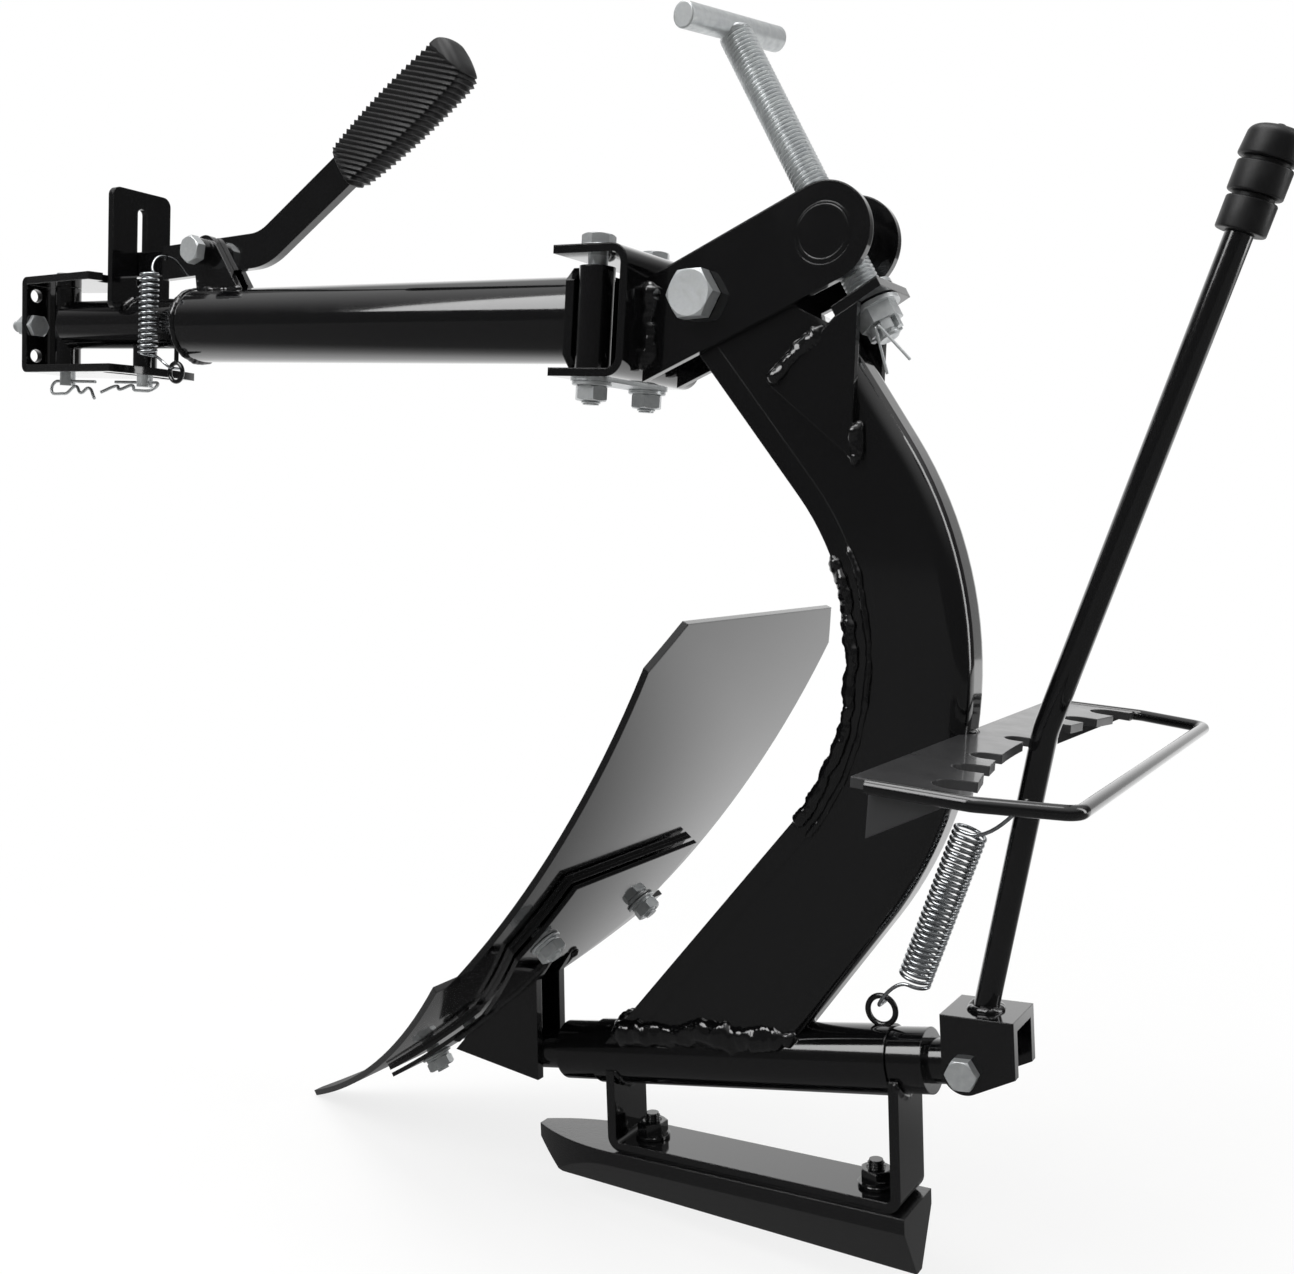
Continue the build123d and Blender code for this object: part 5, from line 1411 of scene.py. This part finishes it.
@dataclass
class Beam:
    """Beam's seam welds, its welds to the axle tube and plates, and the skid's nuts."""

    dresser: Dresser
    fasteners: Fasteners
    welds: WeldBead
    half_w: float = 17.5
    head: Vector = Vector((613.15, 0.0, -4.11))
    knee: Vector = Vector((779.8, 0.0, -191.8))
    tail: Vector = Vector((586.8, 0.0, -459.5))
    knee_r: float = 150.0
    edge: float = 1.8
    edge_span: tuple[float, float] = (-360.0, -130.0)
    seam: float = 12.0
    seam_span: tuple[float, float] = (-330.0, -120.0)
    axle: Vector = Vector((696.0, 0.0, -438.7))
    axle_tilt: float = math.radians(13.5)
    axle_r: float = 20.0
    saddle_rise: float = 6.4
    saddle_sides: tuple[float, float] = (-97.0, 22.0)
    saddle_ends: tuple[float, float] = (-97.0, 22.5)
    foot: Vector = Vector((599.0, 0.0, -521.3))
    foot_slope: float = math.radians(6.06)
    strap: float = 6.0
    strap_legs: tuple[float, float] = (6.0, 190.0)
    stud: HexSize = HexSize(17.0, 8.0, 10.0, 1.5)
    stud_spots: tuple[float, float] = (22.0, 174.0)
    stud_from: float = 0.9
    stud_end: float = 14.5
    stud_length: float = 30.0
    stud_shank_to: float = 1.0
    stud_washer: Washer = Washer(11.0, 5.0, 2.5)
    plate_z: float = -227.0
    plate_x: float = 806.6
    plate_side: float = 2.6
    plate_weld: float = 6.5
    gusset_brow: tuple[Vector, ...] = (Vector((678.4, 0.0, -40.0)), Vector((710.0, 0.0, -7.2)))
    gusset_tip: tuple[Vector, ...] = (Vector((733.4, 0.0, -60.0)), Vector((732.0, 0.0, -84.0)))

    def build(self) -> None:
        """Make the beam's welds and the skid's nuts."""
        self._seam_welds()
        self._axle_welds()
        self._skid_nuts()

    def _front_line(self, inset: float, span: tuple[float, float]) -> list[Vector]:
        """Part of the beam's front edge, moved rearward.

        Args:
            inset: Distance behind the front edge.
            span: Heights that the part lies between.

        Returns:
            Points from above to below.
        """
        first = (self.knee - self.head).normalized()
        last = (self.tail - self.knee).normalized()
        rear_first = Vector((-first.z, 0, first.x))
        rear_last = Vector((-last.z, 0, last.x))
        out = (rear_first + rear_last).normalized()
        corner = self.knee + out * (inset / math.cos(first.angle(last) / 2))
        start, end = self.head + rear_first * inset, self.tail + rear_last * inset
        line = [start, *rounded_corner(start, corner, end, self.knee_r + inset), end]
        return [p for p in line if span[0] < p.z < span[1]]

    def _seam_welds(self) -> None:
        """Wavy beads round the knee where the two shells meet, and at the gussets and the plate."""
        lines = (
            # Each line, how far across it lies as a share of the half width, and the bead's radius.
            (self._front_line(self.edge, self.edge_span), 0.93, 4.4),
            (self._front_line(self.seam, self.seam_span), 1.0, 2.0),
            (self.gusset_brow, 1.2, 4.8),
            (self.gusset_tip, 1.04, 5.0),
        )
        beads = []
        for side in (NEAR, FAR):
            for line, share, radius in lines:
                beads.append(Bead([p + side * (self.half_w * share) for p in line], radius))
        for z in (self.plate_z + self.plate_side, self.plate_z - self.plate_side):
            ends = [Vector((self.plate_x, y, z)) for y in (-self.plate_weld, self.plate_weld)]
            beads.append(Bead(ends, radius=2.4))
        self.welds.add("beam_seam_welds", Body.BEAM, beads)

    def _on_axle(self, s: float, up: float, y: float) -> Vector:
        """A place beside the axle.

        Args:
            s: Distance along the axle from its middle.
            up: Distance above its line.
            y: Distance across.

        Returns:
            The place in the part's frame.
        """
        along, rise = tilted(self.axle_tilt)
        return self.axle + along * s + rise * up + FAR * y

    def _axle_arc(self, s: float, reach: float, sweep: Iterable[int]) -> list[Vector]:
        """Part of a circle round the axle.

        Args:
            s: Distance along the axle from its middle.
            reach: Radius upward, or downward where it is negative.
            sweep: Angles in degrees from that direction.

        Returns:
            Points along the arc.
        """
        turns = [math.radians(t) for t in sweep]
        return [self._on_axle(s, reach * math.cos(t), abs(reach) * math.sin(t)) for t in turns]

    def _axle_welds(self) -> None:
        """Heavy beads round the beam's foot, and beads at the strap's legs."""
        side_up = math.sqrt(self.axle_r**2 - self.half_w**2) + self.saddle_rise
        spread = tilted(self.axle_tilt)[1] * 0.75
        beads = []
        for side in (-1, 1):
            y = side * (self.half_w - 0.4)
            line = [self._on_axle(s, side_up, y) for s in self.saddle_sides]
            beads.append(Bead(line, radius=5.0, spread=spread))
        reach = self.axle_r + 0.5
        for s in self.saddle_ends:
            beads.append(Bead(self._axle_arc(s, reach, range(-58, 59, 6)), radius=4.6))
        for u in self.strap_legs:
            base = self.foot + tilted(self.foot_slope)[0] * u
            s = (base.x - self.axle.x - 9.0) / math.cos(self.axle_tilt) + 3.0
            beads.append(Bead(self._axle_arc(s, -reach, range(-70, 71, 7)), radius=2.2))
        self.welds.add("axle_welds", Body.BEAM, beads)

    def _skid_nuts(self) -> None:
        """Enamelled nuts and washers on the skid's studs."""
        run, rise = tilted(self.foot_slope)
        fit = self.fasteners
        nuts, studs = [], []
        for u, spin in zip(self.stud_spots, (8.0, 21.0)):
            seat = Seat(self.foot + run * u + rise * self.strap, rise)
            nuts.append(fit.washer(self.stud_washer, seat))
            nuts.append(fit.nut(self.stud, seat.up(self.stud_washer.thick, spin, run)))
            studs.append(fit.threaded_end(self.stud, self.stud_end, seat.up(self.stud_from)))
            foot = seat.up(self.stud_shank_to - self.stud_length)
            studs.append(fit.shank(self.stud, self.stud_length, foot, sides=32))
        self.dresser.add("skid_nut_hexagons", join(nuts), Body.BEAM, Slot.ENAMEL, ["skid_nuts"])
        self.dresser.add("skid_stud_ends", join(studs), Body.BEAM, Slot.ENAMEL, ["skid_studs"])


@dataclass
class PloughBody:
    """Plough body's nuts and washers behind the frog, its layers and its welds."""

    dresser: Dresser
    fasteners: Fasteners
    welds: WeldBead
    centre: Vector = Vector((-10.0, 0.0, 78.5))
    face_r: float = 727.0
    stack: float = 12.0
    flat_washer: Washer = Washer(10.5, 5.0, 1.6)
    spring_washer: Washer = Washer(8.4, 5.0, 2.0)
    nut: HexSize = HexSize(16.0, 6.6, 10.0, 1.5)
    nut_turn: float = 13.0
    bolt_end: float = 12.0
    sunk_head: Profile = ((2.0, 0.06), (8.6, 0.06), (8.9, 0.3), (5.0, 4.0))
    bolt_sides: int = 40
    spots: tuple[tuple[float, float], ...] = ((-38.6, -56.0), (-38.6, 56.0), (-49.2, 0.0), (-52.4, 0.0))
    frog_from: float = 4.0
    frog_gap: float = 2.2
    frog_angles: tuple[float, float] = (-54.797, -34.400)
    frog_half_foot: float = 16.0
    frog_half_top: float = 72.0
    frog_steps: int = 48
    weld_from: float = -49.5
    weld_steps: int = 9
    weld_y: float = 16.6

    def build(self) -> None:
        """Make the nuts and bolts, the frog's welds and its layers."""
        self._bolts()
        self._welds()
        self._frog_layers()

    def _out(self, turn: float) -> Vector:
        """Direction square to the plough face at an angle in radians."""
        return Vector((math.cos(turn), 0, math.sin(turn)))

    def _bolts(self) -> None:
        """Nuts with flat and spring washers, and the bolts' sunk heads and threaded ends."""
        fit = self.fasteners
        nuts, ends = [], []
        for i, (angle, y) in enumerate(self.spots):
            out = self._out(math.radians(angle))
            seat = Seat(self.centre + out * (self.face_r + self.stack) + FAR * y, out)
            nuts.append(fit.washer(self.flat_washer, seat))
            nuts.append(fit.washer(self.spring_washer, seat.up(self.flat_washer.thick)))
            under_nut = self.flat_washer.thick + self.spring_washer.thick
            nuts.append(fit.nut(self.nut, seat.up(under_nut, self.nut_turn * i)))
            ends.append(fit.threaded_end(self.nut, self.bolt_end, seat))
            bolt = lathe((*self.sunk_head, (self.nut.thread / 2, self.stack)), self.bolt_sides)
            ends.append(fit.stand(bolt, seat.up(-self.stack)))
        self.dresser.add("plough_nut_hexagons", join(nuts), Body.PLOUGH, Slot.ZINC, ["plough_nuts"])
        self.dresser.add("plough_bolt_ends", join(ends), Body.PLOUGH, Slot.ZINC, ["plough_bolts"])

    def _welds(self) -> None:
        """Beads along the frog's gussets, a degree of the plough face to a step."""
        reach = self.face_r + self.stack + 0.5
        turns = [math.radians(self.weld_from + step) for step in range(self.weld_steps)]
        beads = []
        for y in (-self.weld_y, self.weld_y):
            places = [Vector((reach * math.cos(t), y, reach * math.sin(t))) for t in turns]
            beads.append(Bead([self.centre + place for place in places], radius=2.4))
        self.welds.add("frog_welds", Body.PLOUGH, beads)

    def _frog_layers(self) -> None:
        """Frog plate as the two bent layers that the bolts clamp, with a slit between them.

        Seen from behind, the plate widens from a quarter of its half height below the middle to half
        of it above.
        """
        low, high = (math.radians(angle) for angle in self.frog_angles)
        middle, thick = (low + high) / 2, (self.stack - self.frog_from - self.frog_gap) / 2
        rise = self.face_r * math.sin(high - middle)
        widens, wide = -rise / 4, rise / 2
        layers = []
        for inside in (self.face_r + self.frog_from, self.face_r + self.stack - thick):
            corners = [math.asin(level / inside) for level in (widens, wide)]
            steps = range(self.frog_steps + 1)
            turns = [low - middle + (high - low) * k / self.frog_steps for k in steps]
            rings = []
            for turn in sorted(turns + corners):
                part = max(0.0, min(1.0, (inside * math.sin(turn) - widens) / (wide - widens)))
                across = FAR * (self.frog_half_foot + (self.frog_half_top - self.frog_half_foot) * part)
                out = self._out(middle + turn)
                front, back = self.centre + out * inside, self.centre + out * (inside + thick)
                rings.append([front - across, front + across, back + across, back - across])
            layers.append(skin(rings))
        self.dresser.add("frog_layers", join(layers), Body.PLOUGH, Slot.ENAMEL, ["frog_plate"])


@dataclass
class RearLever:
    """Rear lever's knob, cross bolt and weld."""

    dresser: Dresser
    fasteners: Fasteners
    welds: WeldBead
    pivot: Vector = Vector((822.41, 0.0, -408.35))
    tilt: float = math.radians(6.8)
    bend: float = math.radians(8.9)
    bend_at: float = 192.0
    rise: float = 265.0
    rod_r: float = 7.0
    knob_len: float = 52.0
    knob_r: float = 15.5
    knob_sides: int = 64
    # Each ring of the knob: where it starts and ends, and its radius, as shares of the knob's.
    knob_rings: tuple[tuple[float, float, float], ...] = (
        (0.0, 0.305, 0.8),
        (0.345, 0.625, 0.87),
        (0.665, 0.87, 0.95),
    )
    knob_edge: float = 1.1
    knob_tip: Profile = ((2.6, 0.972), (2.3, 0.99), (1.4, 0.998), (0.2, 1.0))
    dome_r: float = 0.9
    dome_from: float = 0.86
    dome_rise: float = 0.11
    dome_steps: int = 13
    groove: float = 2.2
    groove_share: float = 0.035
    cross_head: HexSize = HexSize(16.0, 6.4, 3.0)
    cross_nut: HexSize = HexSize(16.0, 8.5, 10.0, 1.5)
    cross_end: float = 12.0
    socket_out: float = 18.9
    socket_top: float = 31.0
    socket_slope: float = math.radians(7.0)
    weld_parts: int = 36

    def build(self) -> None:
        """Make the knob, the cross bolt with its nut and the rod's weld."""
        lower = Vector((math.sin(self.tilt), 0, math.cos(self.tilt)))
        upper = Vector((math.sin(self.tilt + self.bend), 0, math.cos(self.tilt + self.bend)))
        points, faces = lathe(self._knob_profile(), self.knob_sides)
        base = self.pivot + lower * self.bend_at + upper * self.rise
        knob = placed(points, base, upper), faces
        self.dresser.add("lever_knob_segments", knob, Body.LEVER, Slot.RUBBER, ["lever_knob"])
        self._cross_bolt()
        slope, up = tilted(self.socket_slope)
        middle = self.pivot + lower * (self.socket_top / lower.dot(up)) + up * 0.4
        ring = circle(middle, slope, FAR, self.rod_r + 1.0, self.weld_parts)
        self.welds.add("lever_rod_weld", Body.LEVER, [Bead(ring, radius=2.6, closed=True)])

    def _knob_profile(self) -> list[tuple[float, float]]:
        """Outline of the knob: rings with soft edges and grooves between them, under a dome with a tip.

        Returns:
            Pairs of radius and height, from the rod to the tip.
        """
        size, soft = self.knob_len, self.knob_edge
        profile = [(self.rod_r + 0.1, 0.4), (self.rod_r + 0.6, 0.0)]
        quarter = [math.pi / 2 * k / 4 for k in range(5)]
        for low, high, share in self.knob_rings:
            wide = share * self.knob_r
            for turn in quarter:
                level = low * size + soft - soft * math.cos(turn)
                profile.append((wide - soft + soft * math.sin(turn), level))
            if high > self.dome_from:
                break
            for turn in quarter:
                level = high * size - soft + soft * math.sin(turn)
                profile.append((wide - soft + soft * math.cos(turn), level))
            waist = wide - self.groove
            profile += [(waist, high * size + 0.2), (waist, high * size + self.groove_share * size)]
        for k in range(self.dome_steps):
            turn = math.pi / 2 * k / self.dome_steps
            side, rise = math.cos(turn) ** 0.5, math.sin(turn)
            level = (self.dome_from + self.dome_rise * rise) * size
            profile.append((self.dome_r * self.knob_r * side, level))
        return profile + [(radius, share * size) for radius, share in self.knob_tip]

    def _cross_bolt(self) -> None:
        """Cross bolt through the socket's fork, and its nut."""
        fit = self.fasteners
        head = Seat(self.pivot + NEAR * self.socket_out, NEAR)
        tail = Seat(self.pivot + FAR * self.socket_out, FAR)
        bolt = [
            fit.head(self.cross_head, head.up(0.0, spin=9.0)),
            fit.shank(self.cross_nut, 2 * self.socket_out, Seat(head.place, FAR)),
            fit.threaded_end(self.cross_nut, self.cross_end, tail),
        ]
        stands_for = ["lever_cross_bolt"]
        self.dresser.add("lever_cross_bolt_hexagon", join(bolt), Body.LEVER, Slot.ZINC, stands_for)
        nut = fit.nut(self.cross_nut, tail.up(0.0, spin=22.0))
        self.dresser.add("lever_cross_nut_hexagon", nut, Body.LEVER, Slot.ZINC, ["lever_cross_nut"])


@dataclass(frozen=True)
class Softbox:
    """One soft lamp: its place and size in metres, and its power in watts."""

    name: str
    place: tuple[float, float, float]
    size: tuple[float, float]
    power: float


@dataclass
class Studio:
    """Camera at the photograph's place, pale floor, soft lamps and a white surround."""

    place: Vector = Vector((1035.84, -733.90, -99.14))
    right: Vector = Vector((0.8524288, 0.5198173, 0.0561700))
    up: Vector = Vector((-0.1053512, 0.0655393, 0.9922730))
    focal_px: float = 1382.0
    sensor: float = 36.0
    clip: float = 0.01
    aim: Vector = Vector((0.6, 0.0, -0.2))
    backdrop_to: tuple[float, float, float] = (-0.55, 0.82, -0.15)
    floor_z: float = -568.2
    floor_x: float = 0.6
    floor_half: float = 8.0
    floor_shade: str = "#F1F1F0"
    floor_colour: str = "#F6F6F5"
    floor_grain_mm: float = 40.0
    floor_behind_to: tuple[float, float, float] = (-0.45, 1.0, 0.0)
    lamps: tuple[Softbox, ...] = (
        Softbox("overhead_softbox", (0.5, -0.2, 1.9), (1.6, 1.2), 22.0),
        Softbox("front_softbox", (-0.4, -1.65, 1.4), (1.6, 1.4), 36.0),
        Softbox("rear_strip", (2.3, 0.7, 0.6), (0.4, 1.8), 9.0),
    )

    def build(self) -> None:
        """Make the camera, floor, lamps and surround."""
        scene = bpy.context.scene
        scene.view_settings.view_transform = "Standard"
        self._camera(scene)
        self._surround(scene)
        self._floor()
        self._lamps()

    def _camera(self, scene: bpy.types.Scene) -> None:
        """Place the camera.

        Args:
            scene: Scene that takes the camera.
        """
        data = bpy.data.cameras.new("photo_camera")
        data.sensor_width = self.sensor
        data.lens = self.focal_px * self.sensor / IMAGE_WIDTH
        data.clip_start = self.clip
        camera = bpy.data.objects.new("photo_camera", data)
        back = self.right.cross(self.up)
        turn = Matrix((self.right, self.up, back)).transposed().to_4x4()
        camera.matrix_world = Matrix.Translation(self.place * MM) @ turn
        scene.collection.objects.link(camera)
        scene.camera = camera

    def _surround(self, scene: bpy.types.Scene) -> None:
        """White surround behind and a pale ceiling, with a dark front for the enamel to mirror.

        Args:
            scene: Scene that takes the surround.
        """
        world = bpy.data.worlds.new("studio_surround")
        world.use_nodes = True
        tree = world.node_tree
        tree.nodes.clear()
        path = add_node(tree, "ShaderNodeLightPath")
        seen = add_node(
            tree,
            "ShaderNodeMath",
            {"operation": "MAXIMUM"},
            {0: path.outputs["Is Camera Ray"], 1: path.outputs["Is Transmission Ray"]},
        )
        place = add_node(tree, "ShaderNodeTexCoord")
        facing = add_node(
            tree,
            "ShaderNodeVectorMath",
            {"operation": "DOT_PRODUCT", 1: self.backdrop_to},
            {0: place.outputs["Generated"]},
        )
        soft = {"interpolation_type": "SMOOTHSTEP", "To Min": 0.07}
        backdrop = add_node(
            tree,
            "ShaderNodeMapRange",
            {**soft, "From Min": 0.45, "From Max": 0.85, "To Max": 1.0},
            {"Value": facing.outputs["Value"]},
        )
        height = add_node(tree, "ShaderNodeSeparateXYZ", links={0: place.outputs["Generated"]})
        ceiling = add_node(
            tree,
            "ShaderNodeMapRange",
            {**soft, "From Min": 0.3, "From Max": 0.95, "To Max": 0.75},
            {"Value": height.outputs["Z"]},
        )
        level = add_node(
            tree,
            "ShaderNodeMath",
            {"operation": "MAXIMUM"},
            {0: backdrop.outputs["Result"], 1: ceiling.outputs["Result"]},
        )
        grey = add_node(
            tree, "ShaderNodeBackground", {"Color": linear(WHITE)}, {"Strength": level.outputs[0]}
        )
        white = add_node(tree, "ShaderNodeBackground", {"Color": linear(WHITE), "Strength": 1.0})
        mix = add_node(
            tree,
            "ShaderNodeMixShader",
            links={0: seen.outputs[0], 1: grey.outputs[0], 2: white.outputs[0]},
        )
        add_node(tree, "ShaderNodeOutputWorld", links={"Surface": mix.outputs[0]})
        scene.world = world

    def _floor(self) -> None:
        """Pale painted floor that shows white to the camera and keeps a soft shadow."""
        material, tree = empty_material("pale_painted_floor")
        path = add_node(tree, "ShaderNodeLightPath")
        grain = noise_value(tree, self.floor_grain_mm, 3.0)
        tint = add_node(
            tree,
            "ShaderNodeMix",
            {"data_type": "RGBA", 6: linear(self.floor_shade), 7: linear(self.floor_colour)},
            {0: grain},
        )
        matte = add_node(tree, "ShaderNodeBsdfDiffuse", {"Roughness": 0.6}, {"Color": tint.outputs[2]})
        place = add_node(tree, "ShaderNodeTexCoord").outputs["Object"]
        # Reflections see the floor glow as painted light: dim under and in front of the object, white
        # behind it.
        spot = add_node(
            tree,
            "ShaderNodeVectorMath",
            {"operation": "DOT_PRODUCT", 1: self.floor_behind_to},
            {0: place},
        )
        soft = {"interpolation_type": "SMOOTHSTEP", "To Max": 1.0}
        behind = add_node(
            tree,
            "ShaderNodeMapRange",
            {**soft, "From Min": 0.1, "From Max": 0.62, "To Min": 0.13},
            {"Value": spot.outputs["Value"]},
        )
        level = add_node(
            tree,
            "ShaderNodeMath",
            {"operation": "MAXIMUM"},
            {0: behind.outputs["Result"], 1: path.outputs["Is Camera Ray"]},
        )
        glow = add_node(
            tree, "ShaderNodeEmission", {"Color": linear(WHITE)}, {"Strength": level.outputs[0]}
        )
        distance = add_node(tree, "ShaderNodeVectorMath", {"operation": "LENGTH"}, {0: place})
        fade = add_node(
            tree,
            "ShaderNodeMapRange",
            {**soft, "From Min": 0.3, "From Max": 1.05, "To Min": 0.8},
            {"Value": distance.outputs["Value"]},
        )
        straight = add_node(
            tree,
            "ShaderNodeMath",
            {"operation": "MULTIPLY"},
            {0: path.outputs["Is Camera Ray"], 1: fade.outputs["Result"]},
        )
        share = add_node(
            tree,
            "ShaderNodeMath",
            {"operation": "MAXIMUM"},
            {0: straight.outputs[0], 1: path.outputs["Is Glossy Ray"]},
        )
        mix = add_node(
            tree,
            "ShaderNodeMixShader",
            links={0: share.outputs[0], 1: matte.outputs[0], 2: glow.outputs[0]},
        )
        add_node(tree, "ShaderNodeOutputMaterial", links={"Surface": mix.outputs[0]})
        mesh = bpy.data.meshes.new("studio_floor")
        half = self.floor_half
        corners = [(-half, -half, 0), (half, -half, 0), (half, half, 0), (-half, half, 0)]
        mesh.from_pydata(corners, [], [(0, 1, 2, 3)])
        mesh.materials.append(material)
        floor = bpy.data.objects.new("studio_floor", mesh)
        floor.location = (self.floor_x, 0.0, self.floor_z * MM)
        bpy.context.scene.collection.objects.link(floor)

    def _lamps(self) -> None:
        """Large soft lamps overhead, high at the front left and behind at the right."""
        for box in self.lamps:
            data = bpy.data.lights.new(box.name, "AREA")
            data.shape = "RECTANGLE"
            data.size, data.size_y = box.size
            data.energy = box.power
            lamp = bpy.data.objects.new(box.name, data)
            lamp.location = box.place
            lamp.rotation_euler = (self.aim - Vector(box.place)).to_track_quat("-Z", "Y").to_euler()
            bpy.context.scene.collection.objects.link(lamp)


def node_slots() -> dict[str, Slot]:
    """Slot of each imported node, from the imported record."""
    return {part["node"]: Slot(part["material_slot"]) for part in frame["record"]["subparts"]}


def springs() -> list[WireSpring]:
    """The latch lever's spring and the rear lever's spring.

    Returns:
        Both springs.
    """
    latch = WireSpring(
        name="latch_spring_wire",
        node="latch_spring",
        pull=(Body.DRAWBAR, Body.LATCH),
        anchor=None,
        top=Vector((158.6, -27.5, 36.5)),
        foot=Vector((157.9, -27.5, -24.5)),
        across=FAR,
        coil_r=6.2,
        curls=15,
        first_hook=[(Vector((148.0, 7.5, 52.0)), NEAR), (Vector((148.0, -6.5, 52.0)), NEAR)],
        last_hook=[(Vector((174.0, -17.0, -33.2)), FAR), (Vector((174.0, -10.0, -33.2)), FAR)],
    )
    lever = WireSpring(
        name="lever_spring_wire",
        node="lever_spring",
        pull=(Body.PLOUGH, Body.LEVER),
        anchor=Body.BEAM,
        top=Vector((809.5, 0.0, -279.0)),
        foot=Vector((784.0, 0.0, -371.0)),
        across=NEAR,
        coil_r=8.8,
        curls=28,
        first_hook=[(Vector((840.46, 11.0, -257.0)), NEAR), (Vector((840.46, -8.0, -257.0)), NEAR)],
        last_hook=[(Vector((766.19, -3.0, -388.44)), FAR), (Vector((766.19, 5.0, -388.44)), FAR)],
    )
    return [latch, lever]


def pin_clips() -> list[PinClip]:
    """Clips of the swing pin and the guide pin, turned on their legs as the hand left them.

    Returns:
        Both clips.
    """
    swing = PinClip(
        name="swing_pin_hairpin",
        node="swing_pin_clip",
        body=Body.YOKE,
        hole=Vector((26.0, 0.0, -43.0)),
        side=1.0,
        hang=math.radians(75.0),
    )
    guide = PinClip(
        name="guide_pin_hairpin",
        node="guide_pin_clip",
        body=Body.DRAWBAR,
        hole=Vector((121.0, 0.0, -43.0)),
        side=-1.0,
        hang=math.radians(40.0),
    )
    return [swing, guide]


def main() -> None:
    """Build the studio, the finishes and every made piece."""
    logging.basicConfig(level=logging.INFO, format="%(name)s %(message)s")
    # The weld beads wander by noise that follows the clock unless it is seeded.
    noise.seed_set(WELD_SEED)
    Studio().build()
    finishes = {
        Slot.ENAMEL: GlossEnamel().build(),
        Slot.ZINC: ZincPlate().build(),
        Slot.RUBBER: MouldedRubber().build(),
        Slot.BUSH: ZincPlate("oil_soaked_bronze_bush", "#8A6A3C", "#6E5430", 0.45).build(),
    }
    # The skid's forging shows pits and scale through its enamel.
    forged = GlossEnamel(
        "black_enamel_on_rough_forging",
        roughness=0.2,
        peel_mm=2.4,
        peel_depth_mm=0.1,
        nib_depth_mm=0.02,
    ).build()
    # The index plate and its tabs get a rougher, duller coat, and their enamel is painted grey as a
    # painted reflection of the pale surround.
    dull_enamel_painted_sheen = GlossEnamel("black_enamel_dull_painted_grey_sheen", "#363637", 0.3, 0.08, coat=0.5).build()
    dresser = Dresser(finishes, {"foot_skid": forged, "index_plate": dull_enamel_painted_sheen, "index_tabs": dull_enamel_painted_sheen})
    dresser.paint(node_slots())
    fasteners = Fasteners()
    welds = WeldBead(dresser)
    Hitch(dresser, fasteners).build()
    Drawbar(dresser, fasteners, welds).build()
    drawn = ZincPlate("zinc_flashed_spring_wire", "#C4C7C9", "#A4A7AA", 0.2, metal=0.95).build()
    for spring in springs():
        spring.build(dresser, drawn)
    for clip in pin_clips():
        clip.build(dresser)
    LatchGrip(dresser).build()
    DepthScrew(dresser, welds).build()
    Beam(dresser, fasteners, welds).build()
    PloughBody(dresser, fasteners, welds).build()
    RearLever(dresser, fasteners, welds).build()
    LOG.info("%d pieces made", dresser.made)


if __name__ == "__main__":
    main()
